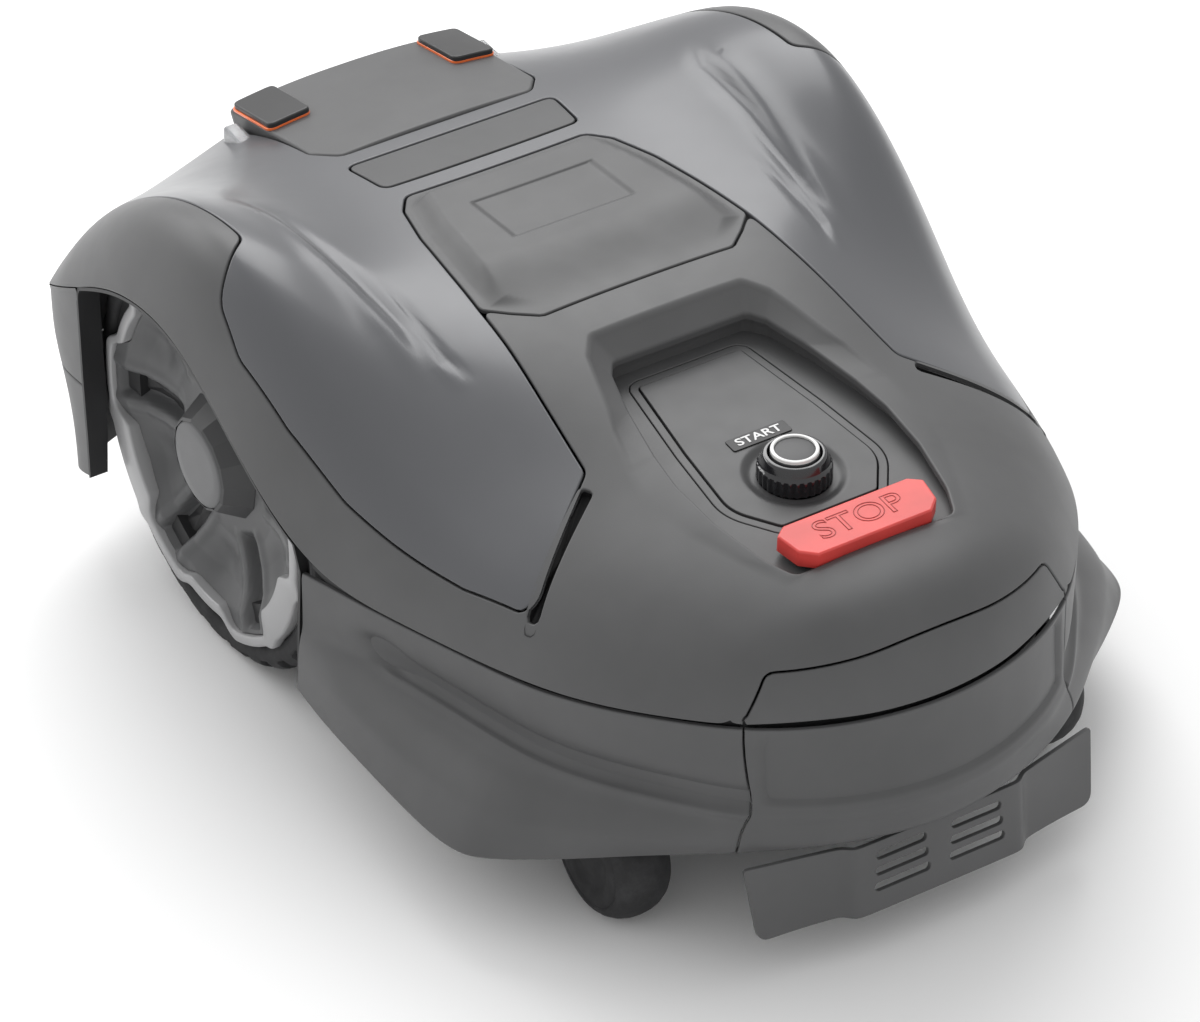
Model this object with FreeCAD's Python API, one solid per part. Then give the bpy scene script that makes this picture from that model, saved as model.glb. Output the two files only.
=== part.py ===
"""Robotic lawn mower: two driven wheels, two swivel casters, a floating cover and a height-set blade disc.

Millimetres. +Z is up, +Y is the driving direction, and X = 0 is the plane of symmetry.
The origin is on the ground under the middle of the machine's box.
"""
import FreeCAD, Part
import math
import os

V = FreeCAD.Vector
UP = V(0, 0, 1)
ALONG_X = V(1, 0, 0)

# ---- overall size -----------------------------------------------------------------------------
BODY_LENGTH = 700.0
BODY_WIDTH = 500.0
BODY_HEIGHT = 310.0
KX = BODY_WIDTH / 500.0       # the cover's outlines are drawn for 500 x 700 x 310 and follow these
KY = BODY_LENGTH / 700.0
KZ = BODY_HEIGHT / 310.0

# ---- cover ------------------------------------------------------------------------------------
SHELL = 3.0                   # wall of the moulded covers
PANEL = 2.6                   # thickness of the inset panels
LEDGE = 2.4                   # thickness of the ledge that the panels sit on
LEDGE_WIDTH = 9.0
PANEL_GAP = 1.4               # visible gap round each panel
SEAM_GAP = 1.6                # gap between the cover and the bumper below it
BRIDGE_DEPTH = 12.0
HATCH_RISE = 6.0

GUARD_TOP = 84.0 * KZ         # the foot guard hangs from here
GUARD_BOTTOM = 34.0

# ---- running gear -----------------------------------------------------------------------------
WHEEL_RADIUS = 140.0
WHEEL_WIDTH = 46.0
WHEEL_FACE = 226.0 * KX       # outer face of a drive wheel, from the middle of the machine
AXLE_Y = 140.0 * KY
TYRE_DEPTH = 20.0
LUG_COUNT = 32
LUG_GROOVE = 5.0
SPOKE_COUNT = 6
SHAFT_RADIUS = 8.0
CASTER_RADIUS = 43.0
CASTER_WIDTH = 38.0
CASTER_TRAIL = 26.0
CASTER_X = 152.0 * KX
CASTER_Y = -191.0 * KY
CASTER_AXLE_RADIUS = 4.0
CASTER_GAP = 1.5              # between the fork's arm and the wheel
CASTER_CHEEK = 3.0            # what the blind bore leaves of the wheel's outer side
FORK_ROOM = 4.0               # between the wheel and the fork's crown
CROWN_THICKNESS = 7.0
CROWN_GAP = 3.0               # between the crown and the floor of the tub
STEM_RADIUS = 7.0

# ---- chassis ----------------------------------------------------------------------------------
TUB_WALL = 3.0
TUB_FLOOR_Z = 2 * CASTER_RADIUS + FORK_ROOM + CROWN_THICKNESS + CROWN_GAP
TUB_RIM_Z = WHEEL_RADIUS + 36.0    # above the drive motors
TUB_HALF_WIDTH = WHEEL_FACE - WHEEL_WIDTH - 26.0
LID_THICKNESS = 3.0
SCREW_RADIUS = 2.0
SCREW_HEAD = 4.0

# ---- cutting unit -----------------------------------------------------------------------------
CUT_HEIGHT = 40.0             # height of the blades, at the middle of their travel
DISC_RADIUS = 104.0
DISC_THICKNESS = 3.0
BLADE_COUNT = 3
BLADE_LENGTH = 34.0
BLADE_WIDTH = 19.0
BLADE_THICKNESS = 0.8
BLADE_PIVOT_RADIUS = 92.0
BLADE_HOLE_RADIUS = 3.0
CUT_MOTOR_RADIUS = 48.0
CUT_Y = -15.0 * KY
GUIDE_CLEARANCE = 0.6
HEIGHT_SCREW_RADIUS = 5.0

# ---- clearances -------------------------------------------------------------------------------
RUNNING = 0.06                # radial clearance of a shaft in its bearing
FREE = 0.6                    # between faces that pass each other
BUMP_TRAVEL = 6.0             # how far the cover moves forwards or backwards when it hits something
LIFT_TRAVEL = 8.0             # how far the cover lifts
STOP_TRAVEL = 4.0
START_TRAVEL = 2.0

FAR = 900.0                   # longer than anything in the machine


# ---- helpers ----------------------------------------------------------------------------------
def box(x0, x1, y0, y1, z0, z1):
    """A block between two corners."""
    return Part.makeBox(x1 - x0, y1 - y0, z1 - z0, V(x0, y0, z0))


def rod(radius, start, length, axis=UP):
    """A cylinder from a start point along an axis."""
    return Part.makeCylinder(radius, length, V(*start), axis)


def tube(outer, inner, start, length, axis=UP):
    """A hollow cylinder."""
    return rod(outer, start, length, axis).cut(rod(inner, start, length, axis))


def mirrored(shape):
    """The same piece on the other side of the machine."""
    return shape.mirror(V(0, 0, 0), ALONG_X)


def both_sides(points):
    """A closed outline from its right half, listed from the front to the back."""
    left = [(-x, y) for x, y in reversed(points) if x > 0]
    return points + left


def scaled(points):
    """Plan points drawn for the nominal cover, fitted to the cover's real length and width."""
    return [(x * KX, y * KY) for x, y in points]


def wire(points, radius=0.0, z=0.0):
    """A closed plan outline with its corners rounded."""
    count = len(points)
    edges = []
    ends = []
    for i in range(count):
        corner = V(points[i][0], points[i][1], z)
        before = V(points[i - 1][0], points[i - 1][1], z) - corner
        after = V(points[(i + 1) % count][0], points[(i + 1) % count][1], z) - corner
        turn = before.getAngle(after)
        reach = min(before.Length, after.Length) * 0.45
        cut = min(radius / math.tan(turn / 2), reach) if radius and turn < 3.05 else 0.0
        if cut < 0.05:
            ends.append((corner, corner))
            continue
        start = corner + before.normalize() * cut
        stop = corner + after.normalize() * cut
        arc_radius = cut * math.tan(turn / 2)
        middle = (start + stop) * 0.5 - corner
        distance = arc_radius / math.sin(turn / 2)
        top = corner + middle.normalize() * (distance - arc_radius)
        edges.append(Part.Arc(start, top, stop).toShape())
        ends.append((start, stop))
    for i in range(count):
        a = ends[i][1]
        b = ends[(i + 1) % count][0]
        if (b - a).Length > 1e-6:
            edges.append(Part.LineSegment(a, b).toShape())
    return Part.Wire(Part.__sortEdges__(edges))


def prism(points, radius=0.0, grow=0.0, z0=-50.0, z1=FAR):
    """A tall block over a plan outline, optionally grown or shrunk all round."""
    outline = wire(points, radius, z0)
    if grow:
        outline = outline.makeOffset2D(grow)
    return Part.Face(outline).extrude(V(0, 0, z1 - z0))


def bare(shape):
    """One clean solid, or a compound of them."""
    solids = [s for s in shape.Solids if s.Volume > 1.0]
    solids = [s if s.Volume > 0 else s.reversed() for s in solids]
    return solids[0] if len(solids) == 1 else Part.makeCompound(solids)


# ---- smooth skins -----------------------------------------------------------------------------
def patch(rows, u_degree=3, v_degree=3):
    """A smooth surface steered by a grid of points and clamped to its four edges."""
    def knots(count, degree):
        spans = count - degree
        return [degree + 1] + [1] * (spans - 1) + [degree + 1], list(range(spans + 1))
    u_mults, u_knots = knots(len(rows), u_degree)
    v_mults, v_knots = knots(len(rows[0]), v_degree)
    surface = Part.BSplineSurface()
    surface.buildFromPolesMultsKnots(rows, u_mults, v_mults, u_knots, v_knots, False, False,
                                     u_degree, v_degree)
    return surface.toShape()


def sunk(rows, depth):
    """The steering points moved square to the surface, inwards by depth."""
    if depth == 0:
        return rows
    last_row = len(rows) - 1
    last = len(rows[0]) - 1
    moved = []
    for i, row in enumerate(rows):
        line = []
        for j, point in enumerate(row):
            along = rows[min(i + 1, last_row)][j] - rows[max(i - 1, 0)][j]
            across = row[min(j + 1, last)] - row[max(j - 1, 0)]
            line.append(point + across.cross(along).normalize() * depth)
        moved.append(line)
    return moved


def skin(rows, outer, inner, u_degree=3):
    """The solid between two depths under a smooth surface."""
    high = sunk(rows, outer)
    low = sunk(rows, inner)
    edge_pairs = [(high[0], low[0]), (high[-1], low[-1]),
                  ([r[0] for r in high], [r[0] for r in low]),
                  ([r[-1] for r in high], [r[-1] for r in low])]
    faces = [patch(high, u_degree), patch(low, u_degree)]
    faces += [patch([a, b], 1, u_degree if len(a) == len(high) else 3) for a, b in edge_pairs]
    shell = Part.makeShell(faces)
    shell.sewShape()
    solid = Part.makeSolid(shell)
    return solid if solid.Volume > 0 else solid.reversed()


def under(rows, depth=0.0):
    """Everything below a smooth surface."""
    return patch(sunk(rows, depth)).extrude(V(0, 0, -FAR / 2))


# ---- the cover's shape ------------------------------------------------------------------------
# Each line crosses the cover: distance along, how far its ends bow back, half width, and the
# heights at these shares of the half width.
ACROSS = (0.0, 0.28, 0.46, 0.64, 0.80, 0.93, 1.0)
DECK_LINES = (
    (350, 32, 238, (232, 230, 218, 208, 205, 195, 178)),
    (318, 25, 248, (246, 244, 236, 232, 232, 222, 194)),
    (270, 10, 250, (260, 259, 255, 256, 264, 256, 212)),
    (205, 0, 250, (268, 268, 270, 282, 300, 296, 244)),
    (140, 0, 250, (272, 273, 277, 294, 318, 313, 254)),
    (85, 0, 250, (277, 277, 279, 292, 313, 304, 230)),
    (25, 0, 248, (281, 280, 279, 277, 280, 266, 184)),
    (-30, 0, 238, (282, 281, 274, 258, 245, 228, 156)),
    (-90, 0, 222, (271, 271, 263, 244, 226, 208, 159)),
    (-150, 0, 208, (256, 256, 250, 240, 226, 206, 165)),
    (-208, 2, 189, (248, 248, 243, 235, 222, 202, 170)),
    (-285, -30, 160, (240, 240, 235, 226, 212, 192, 173)),
    (-330, -48, 136, (230, 230, 226, 218, 204, 188, 175)),
    (-342, -46, 122, (178, 178, 178, 178, 177, 176, 175)),
)

# The bumper below the cover, from the wheel arch round to the middle of the back. Each line
# gives the plan points of its upper edge, lip, crease and lower edge, and their heights.
BUMPER_LINES = (
    ((240, -3), (240, -2), (243, 0), (243, 2), (152, 108, 86, 60)),
    ((232, -40), (229, -38), (246, -34), (247, -30), (155, 108, 86, 60)),
    ((222, -82), (215, -80), (246, -78), (248, -75), (158, 109, 86, 60)),
    ((208, -138), (202, -138), (240, -138), (249, -136), (163, 110, 86, 60)),
    ((197, -184), (192, -184), (232, -190), (247, -190), (167, 111, 87, 60)),
    ((186, -212), (180, -214), (214, -216), (226, -212), (170, 111, 88, 62)),
    ((169, -241), (163, -243), (188, -246), (192, -241), (172, 112, 90, 68)),
    ((146, -270), (141, -273), (158, -274), (157, -267), (174, 112, 92, 74)),
    ((122, -297), (119, -302), (130, -301), (127, -294), (175, 112, 94, 80)),
    ((88, -322), (86, -328), (88, -328), (84, -320), (176, 112, 96, 84)),
    ((44, -339), (43, -346), (43, -345), (42, -335), (177, 112, 97, 84)),
    ((0, -345), (0, -352), (0, -351), (0, -340), (178, 112, 97, 84)),
)

# The front wall, from the wheel arch round to the middle of the front, upper then lower edge.
FRONT_LINES = (
    ((249, 257), (246, 262), (212, 140, 62)),
    ((249, 288), (246, 284), (196, 138, 54)),
    ((238, 317), (236, 292), (175, 132, 54)),
    ((216, 321), (214, 298), (190, 134, 58)),
    ((150, 337), (148, 316), (205, 138, 66)),
    ((90, 344), (90, 326), (218, 142, 70)),
    ((0, 348), (0, 330), (228, 144, 72)),
)


def deck_rows():
    """Steering points of the cover's upper surface."""
    rows = []
    for y, bow, half, heights in DECK_LINES:
        right = [V(s * half * KX, (y - bow * s * s) * KY, z * KZ) for s, z in zip(ACROSS, heights)]
        left = [V(-p.x, p.y, p.z) for p in reversed(right[1:])]
        rows.append(left + right)
    return rows


def bumper_rows():
    """Steering points of the bumper, one line down the wall at each place round it."""
    lines = []
    for top, lip, crease, foot, (z_top, z_lip, z_crease, z_foot) in BUMPER_LINES:
        ledge = ((lip[0] + crease[0]) / 2, (lip[1] + crease[1]) / 2)
        down = ((top, z_top - SEAM_GAP), (top, (z_top + z_lip) / 2 + 8), (lip, z_lip + 12), (lip, z_lip),
                (ledge, (z_lip + z_crease) / 2 + 4), (crease, z_crease), (crease, z_crease - 8),
                (foot, z_foot))
        lines.append([V(x * KX, y * KY, z * KZ) for (x, y), z in down])
    others = [[V(-p.x, p.y, p.z) for p in line] for line in reversed(lines[:-1])]
    return lines + others


def front_rows():
    """Steering points of the front wall."""
    lines = []
    for top, foot, (z_top, z_nose, z_foot) in FRONT_LINES:
        down = ((top, z_top - SEAM_GAP), (top, (z_top + z_nose) / 2), (top, z_nose),
                (foot, (z_nose + z_foot) / 2), (foot, z_foot))
        lines.append([V(x * KX, y * KY, z * KZ) for (x, y), z in down])
    others = [[V(-p.x, p.y, p.z) for p in line] for line in reversed(lines[:-1])]
    return (lines + others)[::-1]


DECK = deck_rows()
BUMPER = bumper_rows()
FRONT = front_rows()

# Plan outlines of the inset panels, right half, front to back.
COVER_OUTLINE = scaled(both_sides([
    (202, 380), (202, 196), (201, 122), (232, 99), (236, 70), (231, 22), (222, -29), (212, -70),
    (198, -126), (184, -169), (175, -170), (112, -126), (112, -127)]))
TONGUE_OUTLINE = scaled(both_sides([
    (70, -9), (84, 3), (97.5, 17), (101, -22), (106, -67), (112, -126), (112, -260)]))
HATCH_OUTLINE = scaled(both_sides([
    (66, 156), (77, 141), (85, 105), (92, 62), (97, 17), (84, 3), (69, -9)]))
HATCH_PAD_OUTLINE = scaled(both_sides([
    (48, 140), (58, 128), (64, 90), (68, 40), (60, 22)]))
NAMEPLATE_OUTLINE = scaled(both_sides([(77, 213), (72, 173)]))
BRIDGE_OUTLINE = scaled(both_sides([(86, 380), (84, 246), (70, 229)]))
BRIDGE_END = ((54, 296), (85, 296), (85, 346), (54, 346))
LENS_OUTLINE = ((88, 298), (99, 298), (99, 334), (88, 334))
SLOT_OUTLINE = ((120, -134), (184, -174.5), (181, -181), (117, -141))
RIM_OUTLINE = scaled(both_sides([
    (56, -38), (68, -54), (82, -101), (95, -141), (99, -171), (91, -206), (77, -244), (66, -272)]))
STEP_OUTLINE = scaled(both_sides([
    (48, -56), (55, -66), (64, -98), (72, -140), (75, -168), (73, -206), (65, -246), (56, -266)]))
PLATE_OUTLINE = scaled(both_sides([(37, -66), (47, -134), (53, -192), (34, -219)]))
STOP_OUTLINE = scaled(both_sides([(44, -234), (52, -240), (49, -258), (40, -266)]))
NOTCH = ((-121, 150), (-96, 221), (96, 221), (121, 150))    # X and Z, in the back of the cover


def tilted(points, start, slope):
    """A plan outline laid on a plane that rises to the front."""
    return [V(x, y, (start + slope * (y / KY + 60)) * KZ) for x, y in points]


def slab(low, high):
    """A block between two tilted outlines with the same number of corners."""
    wires = [Part.makePolygon(points + points[:1]) for points in (low, high)]
    return Part.makeLoft(wires, True, True)


FLOOR = (247.0, 0.07)         # height and slope of the console's floor
STEP = (264.0, 0.118)         # of the foot of its sloping rim
RIM = (281.0, 0.19)           # of the top of its rim


def floor_z(y):
    """Height of the console's floor."""
    return (FLOOR[0] + FLOOR[1] * (y / KY + 60)) * KZ


def console_pocket(grow):
    """The hollow of the console, optionally larger all round."""
    def grown(points):
        middle = sum(y for _, y in points) / len(points)
        half_x = max(x for x, _ in points)
        half_y = max(abs(y - middle) for _, y in points)
        return [(x * (1 + grow / half_x), middle + (y - middle) * (1 + grow / half_y))
                for x, y in points]
    floor = tilted(grown(STEP_OUTLINE), FLOOR[0] - grow, FLOOR[1])
    step = tilted(grown(STEP_OUTLINE), STEP[0] - grow, STEP[1])
    rim = tilted(grown(RIM_OUTLINE), RIM[0] - grow, RIM[1])
    above = [p + V(0, 0, 40) for p in rim]
    return slab(floor, step).fuse(slab(step, rim)).fuse(slab(rim, above))


PIN_PLACES = [(x, y * KY) for x in (-100, 100) for y in (150, -95)]
POST_PLACES = [(x, y * KY) for x in (-100, 100) for y in (205, -150)]
PIN_RADIUS = 5.0
POST_RADIUS = 6.0
LID_TOP = TUB_RIM_Z + 2.0 + LID_THICKNESS
CUSHION_HEIGHT = 7.0
CARRIER_Z = LID_TOP + CUSHION_HEIGHT
CARRIER_THICKNESS = 7.0


# ---- cover pieces -----------------------------------------------------------------------------
def notch_prism(gap):
    """The block that stands for the notch in the back of the cover."""
    points = [V(x * KX + gap * math.copysign(1, x), -FAR, z * KZ + (gap if z > 200 else 0))
              for x, z in NOTCH]
    return Part.Face(Part.makePolygon(points + points[:1])).extrude(V(0, FAR - 240 * KY, 0))


def upper_body():
    """The matte cover: fenders, console surround and a floor under the glossy panels."""
    outer = skin(DECK, 0, SHELL)
    outer = outer.cut(prism(COVER_OUTLINE, 6, PANEL_GAP).cut(prism(TONGUE_OUTLINE, 6, -PANEL_GAP)))
    outer = outer.cut(prism(HATCH_OUTLINE, 5, PANEL_GAP))
    floor = skin(DECK, PANEL, PANEL + LEDGE).common(prism(COVER_OUTLINE, 6, LEDGE_WIDTH))
    floor = floor.cut(prism(HATCH_OUTLINE, 5, -LEDGE_WIDTH))
    body = outer.fuse(floor).cut(prism(RIM_OUTLINE, 8, 0.6)).cut(notch_prism(0))
    for side in (1, -1):
        points = scaled([(side * x, y) for x, y in SLOT_OUTLINE])
        body = body.cut(prism(points, 2))
        lens = scaled([(side * x, y) for x, y in LENS_OUTLINE])
        body = body.cut(prism(lens, 2, 0.6, 190 * KZ))
    for x, y in PIN_PLACES:
        pin = rod(PIN_RADIUS, (x, y, CARRIER_Z), FAR)
        boss = rod(PIN_RADIUS + 4, (x, y, CARRIER_Z + CARRIER_THICKNESS + FREE), FAR)
        body = body.fuse(pin.fuse(boss).common(under(DECK, PANEL + LEDGE / 2)))
    return bare(body)


def top_cover():
    """The glossy U-shaped panel: both wings and the band in front of the hatch."""
    panel = skin(DECK, 0, PANEL).common(prism(COVER_OUTLINE, 6))
    for outline, radius in ((TONGUE_OUTLINE, 6), (HATCH_OUTLINE, 5), (NAMEPLATE_OUTLINE, 6),
                            (BRIDGE_OUTLINE, 8)):
        panel = panel.cut(prism(outline, radius, PANEL_GAP if outline is not TONGUE_OUTLINE else 0))
    for side in (1, -1):
        lens = scaled([(side * x, y) for x, y in LENS_OUTLINE])
        panel = panel.cut(prism(lens, 2, 0.6))
    return bare(panel)


def hatch():
    """The raised lid over the service compartment."""
    panel = skin(DECK, 0, PANEL).common(prism(HATCH_OUTLINE, 5))
    pad = skin(DECK, -HATCH_RISE, PANEL).common(prism(HATCH_PAD_OUTLINE, 10))
    return bare(panel.fuse(pad))


def nameplate():
    """The blank strip in front of the hatch."""
    return bare(skin(DECK, 0, PANEL).common(prism(NAMEPLATE_OUTLINE, 6)))


def bridge_top():
    """Steering points of the raised bridge at the front of the cover."""
    lines = ((228, 266, 264), (262, 262, 258), (300, 256, 250), (350, 246, 240))
    rows = []
    for y, middle, edge in lines:
        xs = (-88, -50, 0, 50, 88)
        zs = (edge, middle, middle + 1, middle, edge)
        rows.append([V(x * KX, y * KY, z * KZ) for x, z in zip(xs, zs)])
    return rows[::-1]


def raised(rows, height):
    """The block between a surface and the same surface moved up."""
    face = patch([[p + V(0, 0, min(height, 0)) for p in row] for row in rows])
    return face.extrude(V(0, 0, abs(height)))


def front_bridge():
    """The hood across the front of the cover, a shell open below."""
    rows = bridge_top()
    block = raised(rows, -BRIDGE_DEPTH).common(prism(BRIDGE_OUTLINE, 8))
    hollow = [[p - V(0, 0, SHELL) for p in row] for row in rows]
    inside = raised(hollow, -BRIDGE_DEPTH - 20).common(prism(BRIDGE_OUTLINE, 6, -SHELL))
    keep = under(DECK, PANEL)
    return bare(block.cut(inside).cut(keep))


def bridge_cap(low, high):
    """One layer of the cap on the right end of the bridge, between two heights above it."""
    rows = [[p + V(0, 0, low) for p in row] for row in bridge_top()]
    return bare(raised(rows, high - low).common(prism(scaled(BRIDGE_END), 4)))


def headlight_lens():
    """The clear block beside the right end of the bridge."""
    outline = scaled(LENS_OUTLINE)
    return bare(prism(outline, 2, 0, 205 * KZ, 240 * KZ))


def skirt(side):
    """The bumper below the cover on one side."""
    ring = skin(BUMPER, 0, SHELL)
    keep = box(117 * KX, FAR, -FAR, FAR, 0, FAR)
    piece = bare(ring.common(keep))
    return piece if side > 0 else mirrored(piece)


def rear_bumper():
    """The middle of the bumper, which rises into the notch of the cover."""
    half = 117 * KX - PANEL_GAP
    ring = skin(BUMPER, 0, SHELL).common(box(-half, half, -FAR, FAR, 0, FAR))
    rise = skin(DECK, 0, SHELL).common(notch_prism(-PANEL_GAP))
    join = skin([DECK[-1], [p - V(0, 0, SEAM_GAP * 3) for p in DECK[-1]]], 0, SHELL, 1)
    join = join.common(box(-half + 7, half - 7, -FAR, FAR, 0, FAR))
    return bare(ring.fuse([rise, join]))


def foot_guard():
    """The slotted plate that hangs below the back of the bumper."""
    top = GUARD_TOP
    back = [(x * KX, y * KY) for x, y in ((-126, -318), (-55, -336), (55, -336), (126, -318))]
    front = [(x, y + SHELL) for x, y in reversed(back)]
    plate = prism(back + front, 0, 0, GUARD_BOTTOM, top)
    trim = box(120 * KX, FAR, -FAR, FAR, 0, GUARD_BOTTOM + 8)
    plate = plate.cut(trim).cut(mirrored(trim))
    for side in (-1, 1):
        for row in range(3):
            z = GUARD_BOTTOM + 14 + row * 11
            x = side * 27 * KX
            plate = plate.cut(box(x - 16, x + 16, -FAR, FAR, z, z + 5))
    return bare(plate)


# ---- console pieces ---------------------------------------------------------------------------
KNOB_Y = -181.0 * KY
KNOB_RADIUS = 15.0
COLLAR_RADIUS = 23.0
DISH_RADIUS = 30.0
COLLAR_HEIGHT = 15.0
STEM_HOLE = 4.0
STOP_STEM = 6.0
STOP_Y = -250.0 * KY
PLATE_THICKNESS = 1.5


def console_tray():
    """The sunk tray with its sloping rim, and the two holes that the buttons pass through."""
    bowl = console_pocket(SHELL).common(prism(RIM_OUTLINE, 8)).common(under(DECK))
    flange = skin(DECK, 0, SHELL).common(prism(RIM_OUTLINE, 8))
    bowl = bowl.fuse(flange).cut(console_pocket(0))
    bowl = bowl.cut(rod(STEM_HOLE + RUNNING * 3, (0, KNOB_Y, 200 * KZ), FAR))
    bowl = bowl.cut(rod(STOP_STEM + RUNNING * 3, (0, STOP_Y, 200 * KZ), FAR))
    return bare(bowl)


def console_plate():
    """The raised plate on the tray's floor, with a round opening for the dish."""
    low = tilted(PLATE_OUTLINE, FLOOR[0], FLOOR[1])
    high = [p + V(0, 0, PLATE_THICKNESS) for p in low]
    return bare(slab(low, high).cut(rod(DISH_RADIUS + 0.3, (0, KNOB_Y, 200 * KZ), FAR)))


def start_label():
    """The small raised sign on the plate."""
    outline = [(x, y * KY) for x, y in ((-21, -137), (21, -137), (21, -148), (-21, -148))]
    low = [p + V(0, 0, PLATE_THICKNESS) for p in tilted(outline, FLOOR[0], FLOOR[1])]
    return bare(slab(low, [p + V(0, 0, 1) for p in low]))


def on_floor(shape):
    """What of a shape lies above the console's tilted floor."""
    wide = [(x, KNOB_Y + y) for x, y in ((-60, 60), (60, 60), (60, -60), (-60, -60))]
    top = tilted(wide, FLOOR[0], FLOOR[1])
    return shape.cut(slab([p - V(0, 0, 60) for p in top], top))


def button_collar():
    """The dish and the raised collar round the start button."""
    z = floor_z(KNOB_Y)
    bore = KNOB_RADIUS + 0.4
    dish = rod(DISH_RADIUS, (0, KNOB_Y, z - 9), 11.5)
    collar = Part.makeCone(COLLAR_RADIUS, COLLAR_RADIUS - 4, COLLAR_HEIGHT, V(0, KNOB_Y, z + 1))
    return bare(on_floor(dish.fuse(collar)).cut(rod(bore, (0, KNOB_Y, z - 30), FAR)))


def start_button():
    """The round push button with the stem below it."""
    z = floor_z(KNOB_Y)
    knob = rod(KNOB_RADIUS, (0, KNOB_Y, z + START_TRAVEL + 3), COLLAR_HEIGHT - START_TRAVEL)
    return bare(knob.fuse(rod(STEM_HOLE, (0, KNOB_Y, z - 14), START_TRAVEL + 20)))


def start_ring():
    """The light ring on the start button."""
    z = floor_z(KNOB_Y) + COLLAR_HEIGHT + 3
    return tube(KNOB_RADIUS - 1, KNOB_RADIUS - 5, (0, KNOB_Y, z), 0.8)


def stop_button():
    """The wide button across the back of the console, with its stem."""
    low = tilted(STOP_OUTLINE, FLOOR[0] + STOP_TRAVEL + 2, FLOOR[1])
    high = [V(p.x * 0.93, STOP_Y + (p.y - STOP_Y) * 0.85, p.z + 9) for p in low]
    stem = rod(STOP_STEM, (0, STOP_Y, floor_z(STOP_Y) - 14), STOP_TRAVEL + 20)
    return bare(slab(low, high).fuse(stem))


# ---- chassis pieces ---------------------------------------------------------------------------
TUB_OUTLINE = [(105 * KX, 285 * KY), (TUB_HALF_WIDTH, 258 * KY), (TUB_HALF_WIDTH, -42 * KY),
               (CASTER_X + 19, -70 * KY), (CASTER_X + 19, CASTER_Y - 14), (138 * KX, -243 * KY),
               (80 * KX, -290 * KY)]
TUB = both_sides(TUB_OUTLINE)
MOTOR_RADIUS = 33.0
MOTOR_LENGTH = 84.0
MOTOR_END = TUB_HALF_WIDTH - TUB_WALL
MOTOR_NOSE = 18.0
BUSH_RADIUS = 13.0
SEAL_THICKNESS = 2.0
GUIDE_INNER = CUT_MOTOR_RADIUS + GUIDE_CLEARANCE
GUIDE_OUTER = GUIDE_INNER + 4.0
HEIGHT_MOTOR_RADIUS = 17.0
HEIGHT_MOTOR_GAP = 6.4
ARM_REACH = GUIDE_OUTER + HEIGHT_MOTOR_GAP + HEIGHT_MOTOR_RADIUS
BATTERY_ROOM = 11.0
ARM_Z = 142.0
ARM_THICKNESS = 6.0
LID_SCREWS = [(x * side, y) for side in (1, -1)
              for x, y in ((TUB_HALF_WIDTH - 8, 235 * KY), (TUB_HALF_WIDTH - 8, 92 * KY),
                           (TUB_HALF_WIDTH - 8, -30 * KY), (72 * KX, -268 * KY))]


def chassis_tub():
    """The sealed lower housing with the bushes for the casters."""
    tub = prism(TUB, 14, 0, TUB_FLOOR_Z, TUB_RIM_Z)
    tub = tub.cut(prism(TUB, 14, -TUB_WALL, TUB_FLOOR_Z + TUB_WALL, FAR))
    for x, y in LID_SCREWS:
        tub = tub.fuse(rod(SCREW_HEAD + 3, (x, y, TUB_FLOOR_Z), TUB_RIM_Z - TUB_FLOOR_Z))
    for side in (1, -1):
        bush = rod(BUSH_RADIUS, (side * CASTER_X, CASTER_Y, TUB_FLOOR_Z), 50)
        tub = tub.fuse(bush)
        tub = tub.cut(rod(STEM_RADIUS + RUNNING, (side * CASTER_X, CASTER_Y, 0), TUB_FLOOR_Z + 48))
        start = (side * (TUB_HALF_WIDTH - 20), AXLE_Y, WHEEL_RADIUS)
        tub = tub.cut(rod(MOTOR_NOSE, start, 60, ALONG_X * side))
    for x, y in LID_SCREWS:
        tub = tub.cut(rod(SCREW_RADIUS, (x, y, TUB_RIM_Z - 16), 60))
    return bare(tub.cut(rod(GUIDE_OUTER, (0, CUT_Y, 0), FAR)))


def lid_outline(grow, z0, z1):
    """The lid's plan as a block, with its screw holes."""
    plate = prism(TUB, 14, grow, z0, z1)
    for x, y in LID_SCREWS:
        plate = plate.cut(rod(SCREW_RADIUS + 0.3, (x, y, z0 - 1), z1 - z0 + 2))
    return plate


def lid_seal():
    """The rubber strip between the tub and its lid."""
    strip = lid_outline(0, TUB_RIM_Z, TUB_RIM_Z + SEAL_THICKNESS)
    return bare(strip.cut(prism(TUB, 14, -TUB_WALL, 0, FAR)))


def chassis_lid():
    """The flat lid of the lower housing."""
    return bare(lid_outline(0, TUB_RIM_Z + SEAL_THICKNESS, LID_TOP))


def screws(places, z, length):
    """Round-headed screws, each a separate solid."""
    made = []
    for x, y in places:
        head = rod(SCREW_HEAD, (x, y, z), 2.4)
        made.append(head.fuse(rod(SCREW_RADIUS, (x, y, z - length), length)))
    return Part.makeCompound(made)


def battery():
    """The battery pack in the front of the tub."""
    z = TUB_FLOOR_Z + TUB_WALL
    case = box(-50, 50, AXLE_Y + 45, AXLE_Y + 115, z, TUB_RIM_Z - BATTERY_ROOM)
    return bare(case.makeFillet(5, [e for e in case.Edges if abs(e.tangentAt(e.FirstParameter).z) > 0.9]))


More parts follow.
